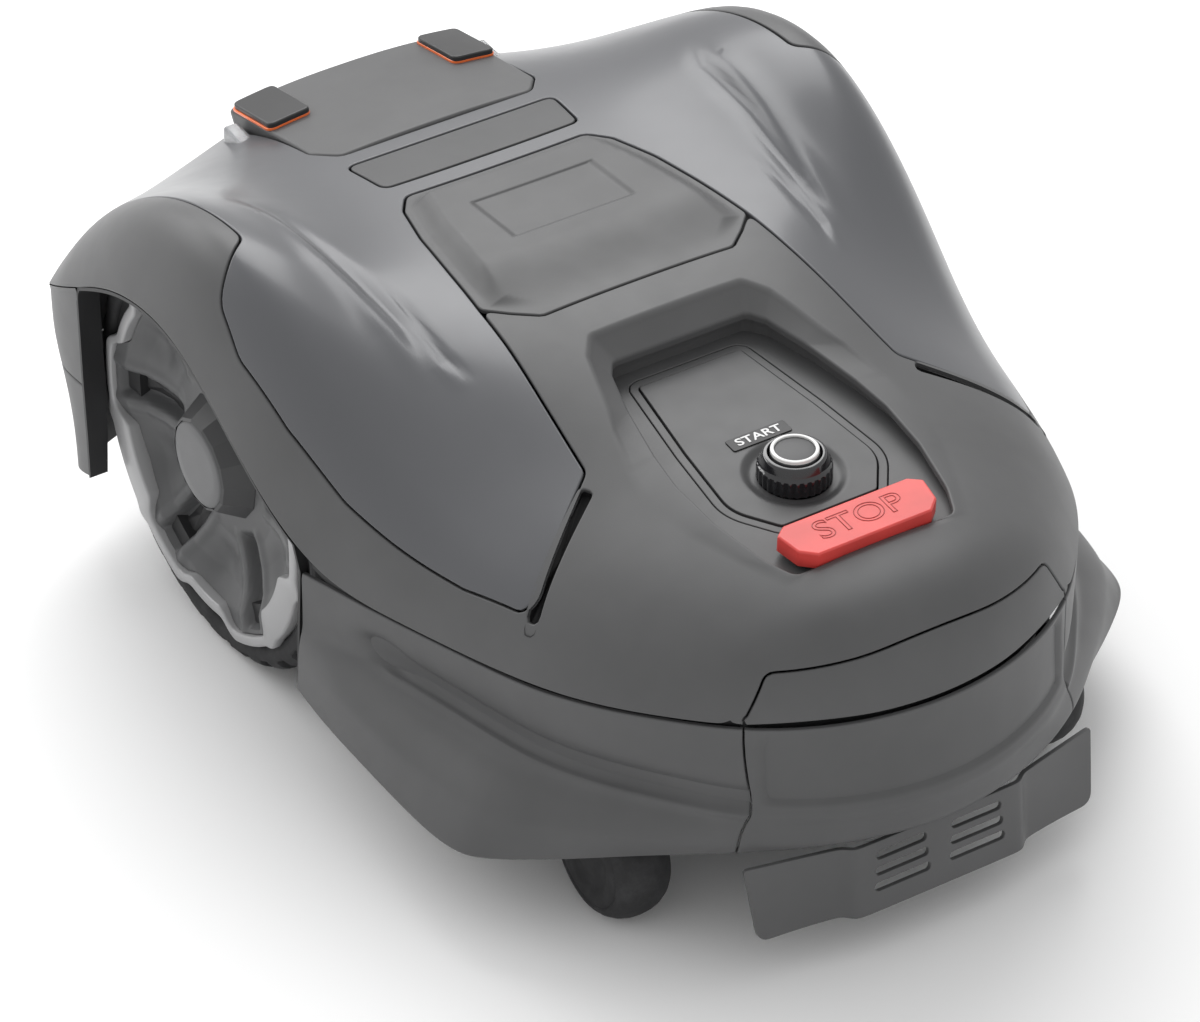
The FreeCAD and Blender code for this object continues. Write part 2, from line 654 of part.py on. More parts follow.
def main_board():
    """The control board, with its larger components."""
    z = TUB_FLOOR_Z + TUB_WALL
    y = CUT_Y - GUIDE_OUTER - 60
    board = box(-62, 62, y - 45, y + 45, z + 5, z + 6.6)
    for x, dy in ((-54, -38), (54, -38), (-54, 38), (54, 38)):
        board = board.fuse(rod(4, (x, y + dy, z), 5))
    for x, dy, w, h in ((-30, 10, 22, 4), (20, -12, 30, 9), (35, 22, 18, 6), (-35, -24, 16, 12)):
        board = board.fuse(box(x - w / 2, x + w / 2, y + dy - 8, y + dy + 8, z + 6.6, z + 6.6 + h))
    return bare(board)


def wheel_motor():
    """The right drive motor: case, gearbox nose and the bore for the wheel's shaft."""
    case = rod(MOTOR_RADIUS, (MOTOR_END - MOTOR_LENGTH, AXLE_Y, WHEEL_RADIUS), MOTOR_LENGTH, ALONG_X)
    nose = rod(MOTOR_NOSE, (MOTOR_END, AXLE_Y, WHEEL_RADIUS), TUB_WALL + 8, ALONG_X)
    bore = rod(SHAFT_RADIUS + RUNNING, (MOTOR_END - 40, AXLE_Y, WHEEL_RADIUS), FAR, ALONG_X)
    return bare(case.fuse(nose).cut(bore))


def charge_contacts():
    """The two brass strips on the nose of the tub."""
    strips = [box(x - 7, x + 7, 285 * KY, 285 * KY + 2, 116, 160) for x in (-45, 45)]
    return Part.makeCompound(strips)


def height_guide():
    """The collar that the cutting motor slides in."""
    return tube(GUIDE_OUTER, GUIDE_INNER, (0, CUT_Y, TUB_FLOOR_Z - 12), 30)


def height_motor():
    """The small motor that turns the height screw."""
    z = TUB_FLOOR_Z + TUB_WALL
    case = rod(HEIGHT_MOTOR_RADIUS, (ARM_REACH, CUT_Y, z), 13)
    return bare(case.cut(rod(HEIGHT_SCREW_RADIUS - 2 + RUNNING, (ARM_REACH, CUT_Y, z + 3), 40)))


def height_screw():
    """The screw that sets the cutting height."""
    z = TUB_FLOOR_Z + TUB_WALL
    thread = rod(HEIGHT_SCREW_RADIUS, (ARM_REACH, CUT_Y, z + 13.5), TUB_RIM_Z - z - 16)
    return bare(thread.fuse(rod(HEIGHT_SCREW_RADIUS - 2, (ARM_REACH, CUT_Y, z + 4), 10)))


def guide_posts():
    """Four posts on the lid that the floating frame rises along, each with a head."""
    made = []
    for x, y in POST_PLACES:
        top = CARRIER_Z + CARRIER_THICKNESS + LIFT_TRAVEL + 1
        post = rod(POST_RADIUS, (x, y, LID_TOP), top - LID_TOP)
        made.append(post.fuse(rod(POST_RADIUS + 3, (x, y, top), 3)))
    return Part.makeCompound(made)


def rubber_cushions():
    """Four rubber rings on the lid that the floating frame rests on."""
    return Part.makeCompound([tube(POST_RADIUS + 6, POST_RADIUS + 1, (x, y, LID_TOP), CUSHION_HEIGHT)
                              for x, y in POST_PLACES])


def floating_frame():
    """The frame that rises along the posts and lets the cover slide forwards and backwards."""
    z = CARRIER_Z
    reach = max(y for _, y in POST_PLACES) + 14
    back = min(y for _, y in POST_PLACES) - 14
    frame = box(-116, -84, back, reach, z, z + CARRIER_THICKNESS)
    frame = frame.fuse(box(84, 116, back, reach, z, z + CARRIER_THICKNESS))
    for y in (120 * KY, -118 * KY):
        frame = frame.fuse(box(-100, 100, y - 9, y + 9, z, z + CARRIER_THICKNESS))
    for x, y in POST_PLACES:
        frame = frame.cut(rod(POST_RADIUS + FREE / 2, (x, y, z - 1), 40))
    for x, y in PIN_PLACES:
        radius = PIN_RADIUS + FREE / 2
        reach = BUMP_TRAVEL + 0.5
        slot = box(x - radius, x + radius, y - reach, y + reach, z - 1, z + 40)
        slot = slot.fuse([rod(radius, (x, y + side * reach, z - 1), 41) for side in (1, -1)])
        frame = frame.cut(slot)
    return bare(frame)


# ---- running gear pieces, right side ----------------------------------------------------------
WHEEL_INNER = WHEEL_FACE - WHEEL_WIDTH
RIM_RADIUS = WHEEL_RADIUS - TYRE_DEPTH
TRIM_RADIUS = RIM_RADIUS - 2.0
COVER_RADIUS = RIM_RADIUS - 18.0
HUB_RADIUS = 40.0
CAP_RADIUS = 27.0
SPOKE_SLOT = 14.0


def tyre():
    """The drive tyre, with grooves between its lugs."""
    ring = tube(WHEEL_RADIUS, RIM_RADIUS, (WHEEL_INNER, AXLE_Y, WHEEL_RADIUS), WHEEL_WIDTH, ALONG_X)
    ring = ring.makeChamfer(5, [e for e in ring.Edges if e.Closed and e.Length > 6 * WHEEL_RADIUS])
    groove = box(WHEEL_INNER - 1, WHEEL_FACE + 1, AXLE_Y - LUG_GROOVE, AXLE_Y + LUG_GROOVE,
                 2 * WHEEL_RADIUS - 6, 2 * WHEEL_RADIUS + 10)
    groove = groove.cut(box(WHEEL_INNER + WHEEL_WIDTH / 2 - 4, WHEEL_INNER + WHEEL_WIDTH / 2 + 4,
                            -FAR, FAR, 0, FAR))
    centre = V(0, AXLE_Y, WHEEL_RADIUS)
    cuts = []
    for i in range(LUG_COUNT):
        copy = groove.copy()
        copy.rotate(centre, ALONG_X, (i + 0.5) * 360.0 / LUG_COUNT)
        cuts.append(copy)
    return bare(ring.cut(Part.makeCompound(cuts)))


def wheel_rim():
    """The wheel's disc and barrel, pressed on the shaft."""
    barrel = tube(RIM_RADIUS, RIM_RADIUS - 4, (WHEEL_INNER + 4, AXLE_Y, WHEEL_RADIUS),
                  WHEEL_WIDTH - 12, ALONG_X)
    disc = rod(RIM_RADIUS, (WHEEL_FACE - 16, AXLE_Y, WHEEL_RADIUS), 8, ALONG_X)
    hub = rod(20, (WHEEL_INNER + 4, AXLE_Y, WHEEL_RADIUS), WHEEL_WIDTH - 20, ALONG_X)
    wheel = barrel.fuse([disc, hub])
    return bare(wheel.cut(rod(SHAFT_RADIUS, (0, AXLE_Y, WHEEL_RADIUS), FAR, ALONG_X)))


def wheel_cover():
    """The spoked cover with a slot along each spoke and a raised hub."""
    x = WHEEL_FACE - 8
    cover = rod(COVER_RADIUS, (x, AXLE_Y, WHEEL_RADIUS), 7, ALONG_X)
    hub = Part.makeCone(HUB_RADIUS, CAP_RADIUS, 10, V(x + 4, AXLE_Y, WHEEL_RADIUS), ALONG_X)
    slot = box(x + 2, x + 30, AXLE_Y - SPOKE_SLOT / 2, AXLE_Y + SPOKE_SLOT / 2,
               WHEEL_RADIUS + HUB_RADIUS + 8, WHEEL_RADIUS + COVER_RADIUS - 10)
    centre = V(0, AXLE_Y, WHEEL_RADIUS)
    cover = cover.fuse(hub)
    for i in range(SPOKE_COUNT):
        copy = slot.copy()
        copy.rotate(centre, ALONG_X, i * 360.0 / SPOKE_COUNT)
        cover = cover.cut(copy)
    return bare(cover)


def wheel_trim():
    """The silver ring between the cover and the tyre."""
    return tube(TRIM_RADIUS, COVER_RADIUS, (WHEEL_FACE - 8, AXLE_Y, WHEEL_RADIUS), 7, ALONG_X)


def hub_cap():
    """The plain disc on the middle of the wheel."""
    return rod(CAP_RADIUS - 1, (WHEEL_FACE + 6, AXLE_Y, WHEEL_RADIUS), 1.5, ALONG_X)


def wheel_shaft():
    """The shaft from the gearbox to the wheel."""
    start = MOTOR_END - 38
    length = WHEEL_FACE - 9 - start
    return rod(SHAFT_RADIUS, (start, AXLE_Y, WHEEL_RADIUS), length, ALONG_X)


def caster_fork():
    """The caster's stem, its bridge over the wheel and the arm on the inner side."""
    crown = 2 * CASTER_RADIUS + FORK_ROOM
    top = TUB_FLOOR_Z - CROWN_GAP
    stem = rod(STEM_RADIUS, (CASTER_X, CASTER_Y, crown), TUB_FLOOR_Z + 46 - crown)
    inner = CASTER_X - CASTER_WIDTH / 2 - CASTER_GAP
    axle_y = CASTER_Y - CASTER_TRAIL
    bridge = box(inner - 6, CASTER_X + 9, axle_y - 9, CASTER_Y + 9, crown, top)
    arm = box(inner - 6, inner, axle_y - 9, axle_y + 9, CASTER_RADIUS, top)
    arm = arm.fuse(rod(9, (inner - 6, axle_y, CASTER_RADIUS), 6, ALONG_X))
    return bare(stem.fuse([bridge, arm]))


def caster_axle():
    """The pin that the caster wheel turns on."""
    inner = CASTER_X - CASTER_WIDTH / 2 - CASTER_GAP
    centre = (inner, CASTER_Y - CASTER_TRAIL, CASTER_RADIUS)
    length = CASTER_GAP + CASTER_WIDTH - CASTER_CHEEK - FREE
    return rod(CASTER_AXLE_RADIUS, centre, length, ALONG_X)


def caster_wheel():
    """The barrel-shaped caster wheel with a blind bore."""
    half = CASTER_WIDTH / 2
    shoulder = CASTER_RADIUS - 5
    profile = [V(-half, 0, 0), V(-half, 0, shoulder - 4), V(-half + 3, 0, shoulder)]
    crown = Part.Arc(V(-half + 3, 0, shoulder), V(0, 0, CASTER_RADIUS), V(half - 3, 0, shoulder))
    edges = [Part.LineSegment(a, b).toShape() for a, b in zip(profile, profile[1:])]
    edges.append(crown.toShape())
    rest = [V(half - 3, 0, shoulder), V(half, 0, shoulder - 4), V(half, 0, 0), V(-half, 0, 0)]
    edges += [Part.LineSegment(a, b).toShape() for a, b in zip(rest, rest[1:])]
    wheel = Part.Face(Part.Wire(edges)).revolve(V(0, 0, 0), ALONG_X, 360)
    wheel = bare(wheel)
    depth = CASTER_WIDTH - CASTER_CHEEK
    wheel = wheel.cut(rod(CASTER_AXLE_RADIUS + RUNNING, (-half - 1, 0, 0), depth + 1, ALONG_X))
    for side in (1, -1):
        ring = tube(27, 25, (side * (half - 1), 0, 0), 5, ALONG_X * side)
        wheel = wheel.cut(ring)
    wheel.translate(V(CASTER_X, CASTER_Y - CASTER_TRAIL, CASTER_RADIUS))
    return bare(wheel)


# ---- cutting unit pieces ----------------------------------------------------------------------
DISC_Z = CUT_HEIGHT + 3.0
HOUSING_Z = DISC_Z + DISC_THICKNESS + 6.0
SPINDLE_RADIUS = 5.0
SKID_RADIUS = 68.0
SKID_Z = CUT_HEIGHT - 11.0
BLADE_SCREW_RADIUS = 2.6


def cutting_motor():
    """The motor housing that slides in its collar, with the arm to the height screw."""
    top = ARM_Z + ARM_THICKNESS
    housing = rod(CUT_MOTOR_RADIUS, (0, CUT_Y, HOUSING_Z), top - HOUSING_Z)
    arm = box(0, ARM_REACH + 12, CUT_Y - 14, CUT_Y + 14, ARM_Z, top)
    bore = rod(SPINDLE_RADIUS + RUNNING, (0, CUT_Y, 0), HOUSING_Z + 40)
    nut = rod(HEIGHT_SCREW_RADIUS + 0.4, (ARM_REACH, CUT_Y, 0), FAR)
    return bare(housing.fuse(arm).cut(bore).cut(nut))


def blade_disc():
    """The disc that carries the blades, on the motor's spindle."""
    disc = rod(DISC_RADIUS, (0, CUT_Y, DISC_Z), DISC_THICKNESS)
    hub = rod(16, (0, CUT_Y, DISC_Z), DISC_THICKNESS + 6 - FREE)
    spindle = rod(SPINDLE_RADIUS, (0, CUT_Y, SKID_Z - 2), HOUSING_Z + 38 - SKID_Z)
    collar = rod(8, (0, CUT_Y, SKID_Z - 5), 4)
    disc = disc.fuse([hub, spindle, collar])
    for x, y in blade_places():
        disc = disc.cut(rod(BLADE_SCREW_RADIUS, (x, y, 0), FAR))
    return bare(disc)


def blade_places():
    """The blade screws' places round the disc."""
    turns = [math.radians(90 + i * 360.0 / BLADE_COUNT) for i in range(BLADE_COUNT)]
    return [(BLADE_PIVOT_RADIUS * math.cos(t), CUT_Y + BLADE_PIVOT_RADIUS * math.sin(t)) for t in turns]


def blade(index):
    """One thin blade, pointing outwards from its screw."""
    x, y = blade_places()[index]
    half = BLADE_WIDTH / 2
    strip = box(-7, BLADE_LENGTH - 7, -half, half, 0, BLADE_THICKNESS)
    strip = strip.cut(rod(BLADE_HOLE_RADIUS, (0, 0, -1), 4))
    strip.rotate(V(0, 0, 0), UP, 90 + index * 360.0 / BLADE_COUNT)
    strip.translate(V(x, y, CUT_HEIGHT - BLADE_THICKNESS / 2))
    return strip


def blade_screws():
    """The screws that the blades swing on."""
    made = []
    for x, y in blade_places():
        shank = rod(BLADE_SCREW_RADIUS, (x, y, CUT_HEIGHT - 3), DISC_Z + DISC_THICKNESS - CUT_HEIGHT + 3)
        made.append(shank.fuse(rod(5.5, (x, y, CUT_HEIGHT - 5), 2.5)))
    return Part.makeCompound(made)


def skid_plate():
    """The plate under the disc that turns freely when it touches the ground."""
    plate = rod(SKID_RADIUS, (0, CUT_Y, SKID_Z), 2.5)
    plate = plate.fuse(rod(12, (0, CUT_Y, SKID_Z), DISC_Z - SKID_Z - FREE))
    return bare(plate.cut(rod(SPINDLE_RADIUS + RUNNING, (0, CUT_Y, 0), FAR)))


# ---- every piece ------------------------------------------------------------------------------
def pieces():
    """Each piece by name."""
    made = {
        "upper_body": upper_body(), "top_cover": top_cover(), "hatch": hatch(),
        "nameplate": nameplate(), "front_bridge": front_bridge(),
        "front_bumper": bare(skin(FRONT, 0, SHELL)),
        "rear_bumper": rear_bumper(), "foot_guard": foot_guard(),
        "console_tray": console_tray(), "console_plate": console_plate(),
        "start_label": start_label(), "button_collar": button_collar(),
        "start_button": start_button(), "start_ring": start_ring(), "stop_button": stop_button(),
        "chassis_tub": chassis_tub(), "lid_seal": lid_seal(), "chassis_lid": chassis_lid(),
        "lid_screws": screws(LID_SCREWS, LID_TOP, 14), "battery": battery(),
        "main_board": main_board(), "charge_contacts": charge_contacts(),
        "height_guide": height_guide(), "height_motor": height_motor(),
        "height_screw": height_screw(), "guide_posts": guide_posts(),
        "rubber_cushions": rubber_cushions(), "floating_frame": floating_frame(),
        "cutting_motor": cutting_motor(), "blade_disc": blade_disc(),
        "blade_screws": blade_screws(), "skid_plate": skid_plate(),
    }
    for index in range(BLADE_COUNT):
        made[f"blade_{index + 1}"] = blade(index)
    pairs = {"bridge_caps": bridge_cap(1.2, 4.5), "bridge_trims": bridge_cap(0, 1.2),
             "headlight_lenses": headlight_lens()}
    for name, shape in pairs.items():
        made[name] = Part.makeCompound([shape, mirrored(shape)])
    right = {
        "skirt": skirt(1), "wheel_motor": wheel_motor(),
        "tyre": tyre(), "wheel_rim": wheel_rim(), "wheel_cover": wheel_cover(),
        "wheel_trim": wheel_trim(), "hub_cap": hub_cap(), "wheel_shaft": wheel_shaft(),
        "caster_fork": caster_fork(), "caster_axle": caster_axle(), "caster_wheel": caster_wheel(),
    }
    for name, shape in right.items():
        made[f"{name}_right"] = shape
        made[f"{name}_left"] = mirrored(shape)
    return made


os.makedirs("parts", exist_ok=True)
for name, shape in pieces().items():
    shape.exportStep(f"parts/{name}.step")
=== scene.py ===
"""The looks of the robotic lawn mower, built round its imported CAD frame."""
import math

import bpy
import numpy as np
from mathutils import Matrix, Vector
from mathutils.geometry import delaunay_2d_cdt


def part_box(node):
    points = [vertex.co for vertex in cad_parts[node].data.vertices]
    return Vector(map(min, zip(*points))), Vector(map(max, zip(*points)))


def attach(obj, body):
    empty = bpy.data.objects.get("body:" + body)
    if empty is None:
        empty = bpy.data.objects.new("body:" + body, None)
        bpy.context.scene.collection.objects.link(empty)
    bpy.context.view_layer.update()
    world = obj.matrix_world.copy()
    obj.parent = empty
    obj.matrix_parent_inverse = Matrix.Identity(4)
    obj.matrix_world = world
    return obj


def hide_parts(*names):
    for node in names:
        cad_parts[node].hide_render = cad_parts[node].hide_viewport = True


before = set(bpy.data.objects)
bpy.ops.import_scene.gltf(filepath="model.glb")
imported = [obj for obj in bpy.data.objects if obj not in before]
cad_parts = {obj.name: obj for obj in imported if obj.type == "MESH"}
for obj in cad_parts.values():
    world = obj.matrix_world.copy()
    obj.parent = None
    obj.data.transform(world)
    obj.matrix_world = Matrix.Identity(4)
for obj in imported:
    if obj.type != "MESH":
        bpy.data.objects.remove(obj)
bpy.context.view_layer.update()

MM = 0.001                    # sizes below are in millimetres
HALF_PI = math.pi / 2
FULL_TURN = 2 * math.pi
PANEL_GAP = 1.4
EDGE_ROLL = 1.1
SHELL = 3.0
GRID = 4.0                    # spacing of the vertices on the smooth panels
OUTLINE_STEP = 3.0            # spacing of the vertices along their outlines
CHUNK = 4000                  # how many points are compared with an outline at once
SIDES = (("right", False), ("left", True))      # each side, and whether it is the mirror image


def box_mm(node):
    """The lowest and highest corner of a CAD node, in millimetres."""
    low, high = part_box(node)
    return np.array(low) / MM, np.array(high) / MM


wheel_low, wheel_high = box_mm("tyre_right")
WHEEL_RADIUS = (wheel_high[2] - wheel_low[2]) / 2
AXLE_Y = (wheel_high[1] + wheel_low[1]) / 2


# ---- smooth patches
def unit(a):
    return a / np.maximum(np.linalg.norm(a, axis=-1, keepdims=True), 1e-12)


def basis(count, t):
    """Weights of a clamped uniform cubic spline with count steering points."""
    last = count - 3
    knots = np.array([0.0] * 4 + list(range(1, last)) + [last] * 4)
    t = np.clip(t, 0.0, last - 1e-9)[:, None]
    weights = ((t >= knots[:-1]) & (t < knots[1:])).astype(float)
    for degree in range(1, 4):
        low, high = knots[:-degree - 1], knots[degree + 1:]
        rise, fall = knots[degree:-1] - low, high - knots[1:-degree]
        rise[rise == 0] = np.inf
        fall[fall == 0] = np.inf
        weights = (t - low) / rise * weights[:, :-1] + (high - t) / fall * weights[:, 1:]
    return weights


class Patch:
    """A smooth surface over a grid of steering points, with an optional relief on top."""

    def __init__(self, poles, relief=None):
        self.poles = np.array(poles, float)
        self.rows, self.cols = self.poles.shape[:2]
        self.u_max, self.v_max = self.rows - 3, self.cols - 3
        self.relief = relief
        slopes = self.slopes(*self.table(9, 0, self.u_max))
        self.scale = np.array([np.median(np.linalg.norm(slope, axis=1)) for slope in slopes])

    def table(self, count, u_from, u_to):
        """Parameters on an even grid over a stretch of the patch."""
        us = np.linspace(u_from, u_to, count)
        return np.repeat(us, count), np.tile(np.linspace(0, self.v_max, count), count)

    def bare_point(self, u, v):
        along = basis(self.rows, u) @ self.poles.reshape(self.rows, -1)
        along = along.reshape(-1, self.cols, 3)
        return np.einsum("mj,mjk->mk", basis(self.cols, v), along)

    def slopes(self, u, v, at=None, step=1e-3):
        at = at or self.bare_point
        u0, u1 = np.clip(u - step, 0, self.u_max), np.clip(u + step, 0, self.u_max)
        v0, v1 = np.clip(v - step, 0, self.v_max), np.clip(v + step, 0, self.v_max)
        du = (at(u1, v) - at(u0, v)) / (u1 - u0)[:, None]
        dv = (at(u, v1) - at(u, v0)) / (v1 - v0)[:, None]
        return du, dv

    def bare_normal(self, u, v):
        return unit(np.cross(*self.slopes(u, v)))

    def point(self, u, v):
        bare = self.bare_point(u, v)
        if self.relief is None:
            return bare
        return bare + self.bare_normal(u, v) * self.relief(bare)[:, None]

    def normal(self, u, v):
        if self.relief is None:
            return self.bare_normal(u, v)
        return unit(np.cross(*self.slopes(u, v, self.point, 4e-3)))

    def locate(self, places, upright_from=None):
        """The surface parameters under points given by x and y.

        On a steep stretch, which starts at upright_from, the points are given by x and z.
        """
        upright = upright_from is not None
        axes = [0, 2] if upright else [0, 1]
        u_from = upright_from if upright else 0
        places = np.array(places, float)
        table_u, table_v = self.table(160 if upright else 70, u_from, self.u_max)
        table = self.bare_point(table_u, table_v)[:, axes]
        nearest = np.argmin(((places[:, None] - table[None]) ** 2).sum(2), axis=1)
        u, v = table_u[nearest], table_v[nearest]
        for _ in range(12):
            miss = places - self.bare_point(u, v)[:, axes]
            du, dv = [slope[:, axes] for slope in self.slopes(u, v)]
            det = du[:, 0] * dv[:, 1] - du[:, 1] * dv[:, 0]
            det = np.where(np.abs(det) < 1e-6, 1e-6, det)
            u = np.clip(u + (miss[:, 0] * dv[:, 1] - miss[:, 1] * dv[:, 0]) / det, u_from, self.u_max)
            v = np.clip(v + (du[:, 0] * miss[:, 1] - du[:, 1] * miss[:, 0]) / det, 0, self.v_max)
        return np.stack([u, v], 1)

    def inset(self, loop, distance):
        """A closed loop of parameters moved to its left by a distance along the surface."""
        u, v = loop[:, 0], loop[:, 1]
        side = self.side(loop)
        du, dv = self.slopes(u, v)
        a, b, c = (du * du).sum(1), (du * dv).sum(1), (dv * dv).sum(1)
        p, q = (side * du).sum(1) * distance, (side * dv).sum(1) * distance
        det = a * c - b * b
        moved = np.stack([u + (c * p - b * q) / det, v + (a * q - b * p) / det], 1)
        return np.clip(moved, 0, [self.u_max, self.v_max])

    def side(self, loop):
        """The direction to the left of a closed loop, along the surface."""
        at = self.bare_point(loop[:, 0], loop[:, 1])
        forward = unit(np.roll(at, -1, 0) - at)
        back = unit(at - np.roll(at, 1, 0))
        return unit(np.cross(self.bare_normal(loop[:, 0], loop[:, 1]), unit(forward + back)))

    def edge(self, u=None, v=None, count=200):
        """Points along the patch at one u or one v, from its start to its end."""
        us = np.linspace(0, self.u_max, count) if u is None else np.full(count, u)
        vs = np.linspace(0, self.v_max, count) if v is None else np.full(count, v)
        return self.bare_point(us, vs)


# ---- outlines
def spans(count, closed=True):
    """Each place along a row with the place after it."""
    return [(i, (i + 1) % count) for i in range(count if closed else count - 1)]


def curve(start, corner, stop, steps):
    """Points, or rows of points, on a curve that turns at a corner."""
    return [(1 - t) ** 2 * start + 2 * t * (1 - t) * corner + t * t * stop
            for t in np.linspace(0, 1, steps)]


def resample(points, step, closed=True, count=None):
    """The same line with evenly spaced points, about a step apart or as many as count."""
    points = np.array(points, float)
    if closed:
        points = np.vstack([points, points[:1]])
    at = np.concatenate([[0], np.cumsum(np.linalg.norm(np.diff(points, axis=0), axis=1))])
    wanted = np.linspace(0, at[-1], count or max(int(round(at[-1] / step)), 4) + 1)
    if closed:
        wanted = wanted[:-1]
    return np.stack([np.interp(wanted, at, points[:, k]) for k in range(points.shape[1])], 1)


def corner(corners, i):
    """A corner's place, the ways to its neighbours, the nearer one's distance, and the angle."""
    here, before, after = [np.array(corners[k % len(corners)][:2], float) for k in (i, i - 1, i + 1)]
    before, after = before - here, after - here
    len_before, len_after = np.linalg.norm(before), np.linalg.norm(after)
    before, after = before / len_before, after / len_after
    return here, before, after, min(len_before, len_after), math.acos(np.clip(before @ after, -1, 1))


def rounded(corners, closed=True):
    """A line through corners (x, y, radius), with each corner turned into an arc."""
    out = []
    for i, (_, _, radius) in enumerate(corners):
        here, before, after, reach, turn = corner(corners, i)
        if not closed and i in (0, len(corners) - 1) or radius <= 0 or turn > math.pi - 0.02:
            out.append(here)
            continue
        cut = min(radius / math.tan(turn / 2), 0.48 * reach)
        out += curve(here + before * cut, here, here + after * cut, 9)
    return np.array(out)


def matched(corners, per_span=9):
    """A closed outline with the same number of points for the same number of corners."""
    arcs = []
    for i, (_, _, radius) in enumerate(corners):
        here, before, after, reach, turn = corner(corners, i)
        cut = min(radius / math.tan(turn / 2) if turn < 3.1 else 0.3 * reach, 0.45 * reach)
        arcs.append(curve(here + before * cut, here, here + after * cut, 7))
    out = []
    for arc, following in zip(arcs, arcs[1:] + arcs[:1]):
        a, b = arc[-1], following[0]
        out += arc + [a + (b - a) * t for t in np.linspace(0, 1, per_span + 1)[1:-1]]
    return np.array(out)


def grown(loop, distance):
    """An anticlockwise plan outline moved outward."""
    along = unit(np.roll(loop, -1, 0) - np.roll(loop, 1, 0))
    return loop + np.column_stack([along[:, 1], -along[:, 0]]) * distance


def circle(x, y, radius, count=72):
    angle = np.arange(count) * FULL_TURN / count
    return np.column_stack([x + radius * np.cos(angle), y + radius * np.sin(angle)])


def box_plan(x0, y0, x1, y1, radius, step):
    """A rectangle with rounded corners, anticlockwise."""
    return resample(rounded([(x0, y0, radius), (x1, y0, radius), (x1, y1, radius), (x0, y1, radius)]), step)


def mirror_path(path):
    return [(-x, *rest) for x, *rest in reversed(path)]


def mirror_row(right):
    """A line across the machine from its right half, which starts in the middle."""
    return mirror_path(right[1:]) + right


def right_to_left(right):
    """A line across the machine from its right half, which starts at the side."""
    return right + mirror_path(right)


def both(right):
    """A closed outline, anticlockwise from above, from its right half listed front to back."""
    return mirror_path(right)[::-1] + right[::-1]


def smooth_step(t):
    t = np.clip(t, 0, 1)
    return t * t * (3 - 2 * t)


def bell(t):
    return np.exp(-t * t)


def inside(points, loops):
    """Which points lie inside the outer loops and outside the holes."""
    odd = np.zeros(len(points), bool)
    for a in loops:
        b = np.roll(a, -1, 0)
        rise = b[:, 1] - a[:, 1]
        lean = (b[:, 0] - a[:, 0]) / np.where(rise == 0, 1e-12, rise)
        for k in range(0, len(points), CHUNK):
            x, y = points[k:k + CHUNK, :1], points[k:k + CHUNK, 1:]
            crosses = (a[:, 1] > y) != (b[:, 1] > y)
            odd[k:k + CHUNK] ^= (crosses & (x < a[:, 0] + (y - a[:, 1]) * lean)).sum(1) % 2 == 1
    return odd


def near_loops(points, loops, distance):
    """Which points lie closer to any loop than a distance."""
    close = np.zeros(len(points), bool)
    for loop in loops:
        for k in range(0, len(points), CHUNK):
            gap = ((points[k:k + CHUNK, None] - loop[None]) ** 2).sum(2).min(1)
            close[k:k + CHUNK] |= gap < distance * distance
    return close


# ---- meshes
class Shape:
    """Collects points in millimetres, faces, and a normal for each corner of each face."""

    def __init__(self):
        self.points, self.faces, self.normals = [], [], []

    def add(self, points):
        start = sum(len(row) for row in self.points)
        self.points.append(points)
        return np.arange(start, start + len(points))

    def face(self, ids, normals):
        self.faces.append([int(i) for i in ids])
        self.normals.extend([tuple(n) for n in normals])

    def strip(self, a, b, normal_a, normal_b, closed=True):
        """Quads between two rows of points."""
        for i, j in spans(len(a), closed):
            self.face((b[i], b[j], a[j], a[i]), (normal_b[i], normal_b[j], normal_a[j], normal_a[i]))

    def make(self, name, material, mirror=False):
        """The mesh object, or its mirror image on the machine's other side."""
        flip = np.array([-1.0 if mirror else 1.0, 1.0, 1.0])
        faces, normals = self.faces, np.array(self.normals) * flip
        if mirror:
            starts = np.cumsum([0] + [len(f) for f in faces])
            order = np.concatenate([np.arange(b - 1, a - 1, -1) for a, b in zip(starts, starts[1:])])
            faces, normals = [f[::-1] for f in faces], normals[order]
        mesh = bpy.data.meshes.new(name)
        mesh.from_pydata([tuple(p) for p in np.vstack(self.points) * flip * MM], [], faces)
        mesh.polygons.foreach_set("use_smooth", [True] * len(mesh.polygons))
        mesh.normals_split_custom_set(normals.tolist())
        mesh.update()
        return place(name, mesh, material)


def place(name, mesh, material):
    piece = bpy.data.objects.new(name, mesh)
    bpy.context.scene.collection.objects.link(piece)
    mesh.materials.clear()
    mesh.materials.append(material)
    return piece


def dress(piece, body):
    """Give a piece its body."""
    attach(piece, body)


def stand_in(shape, node, material, body="cover", mirror=False, name=None):
    """Make a shape into the piece that is seen in place of a CAD node."""
    piece = shape.make(name or f"{node}_looks", material, mirror)
    dress(piece, body)
    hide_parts(node)


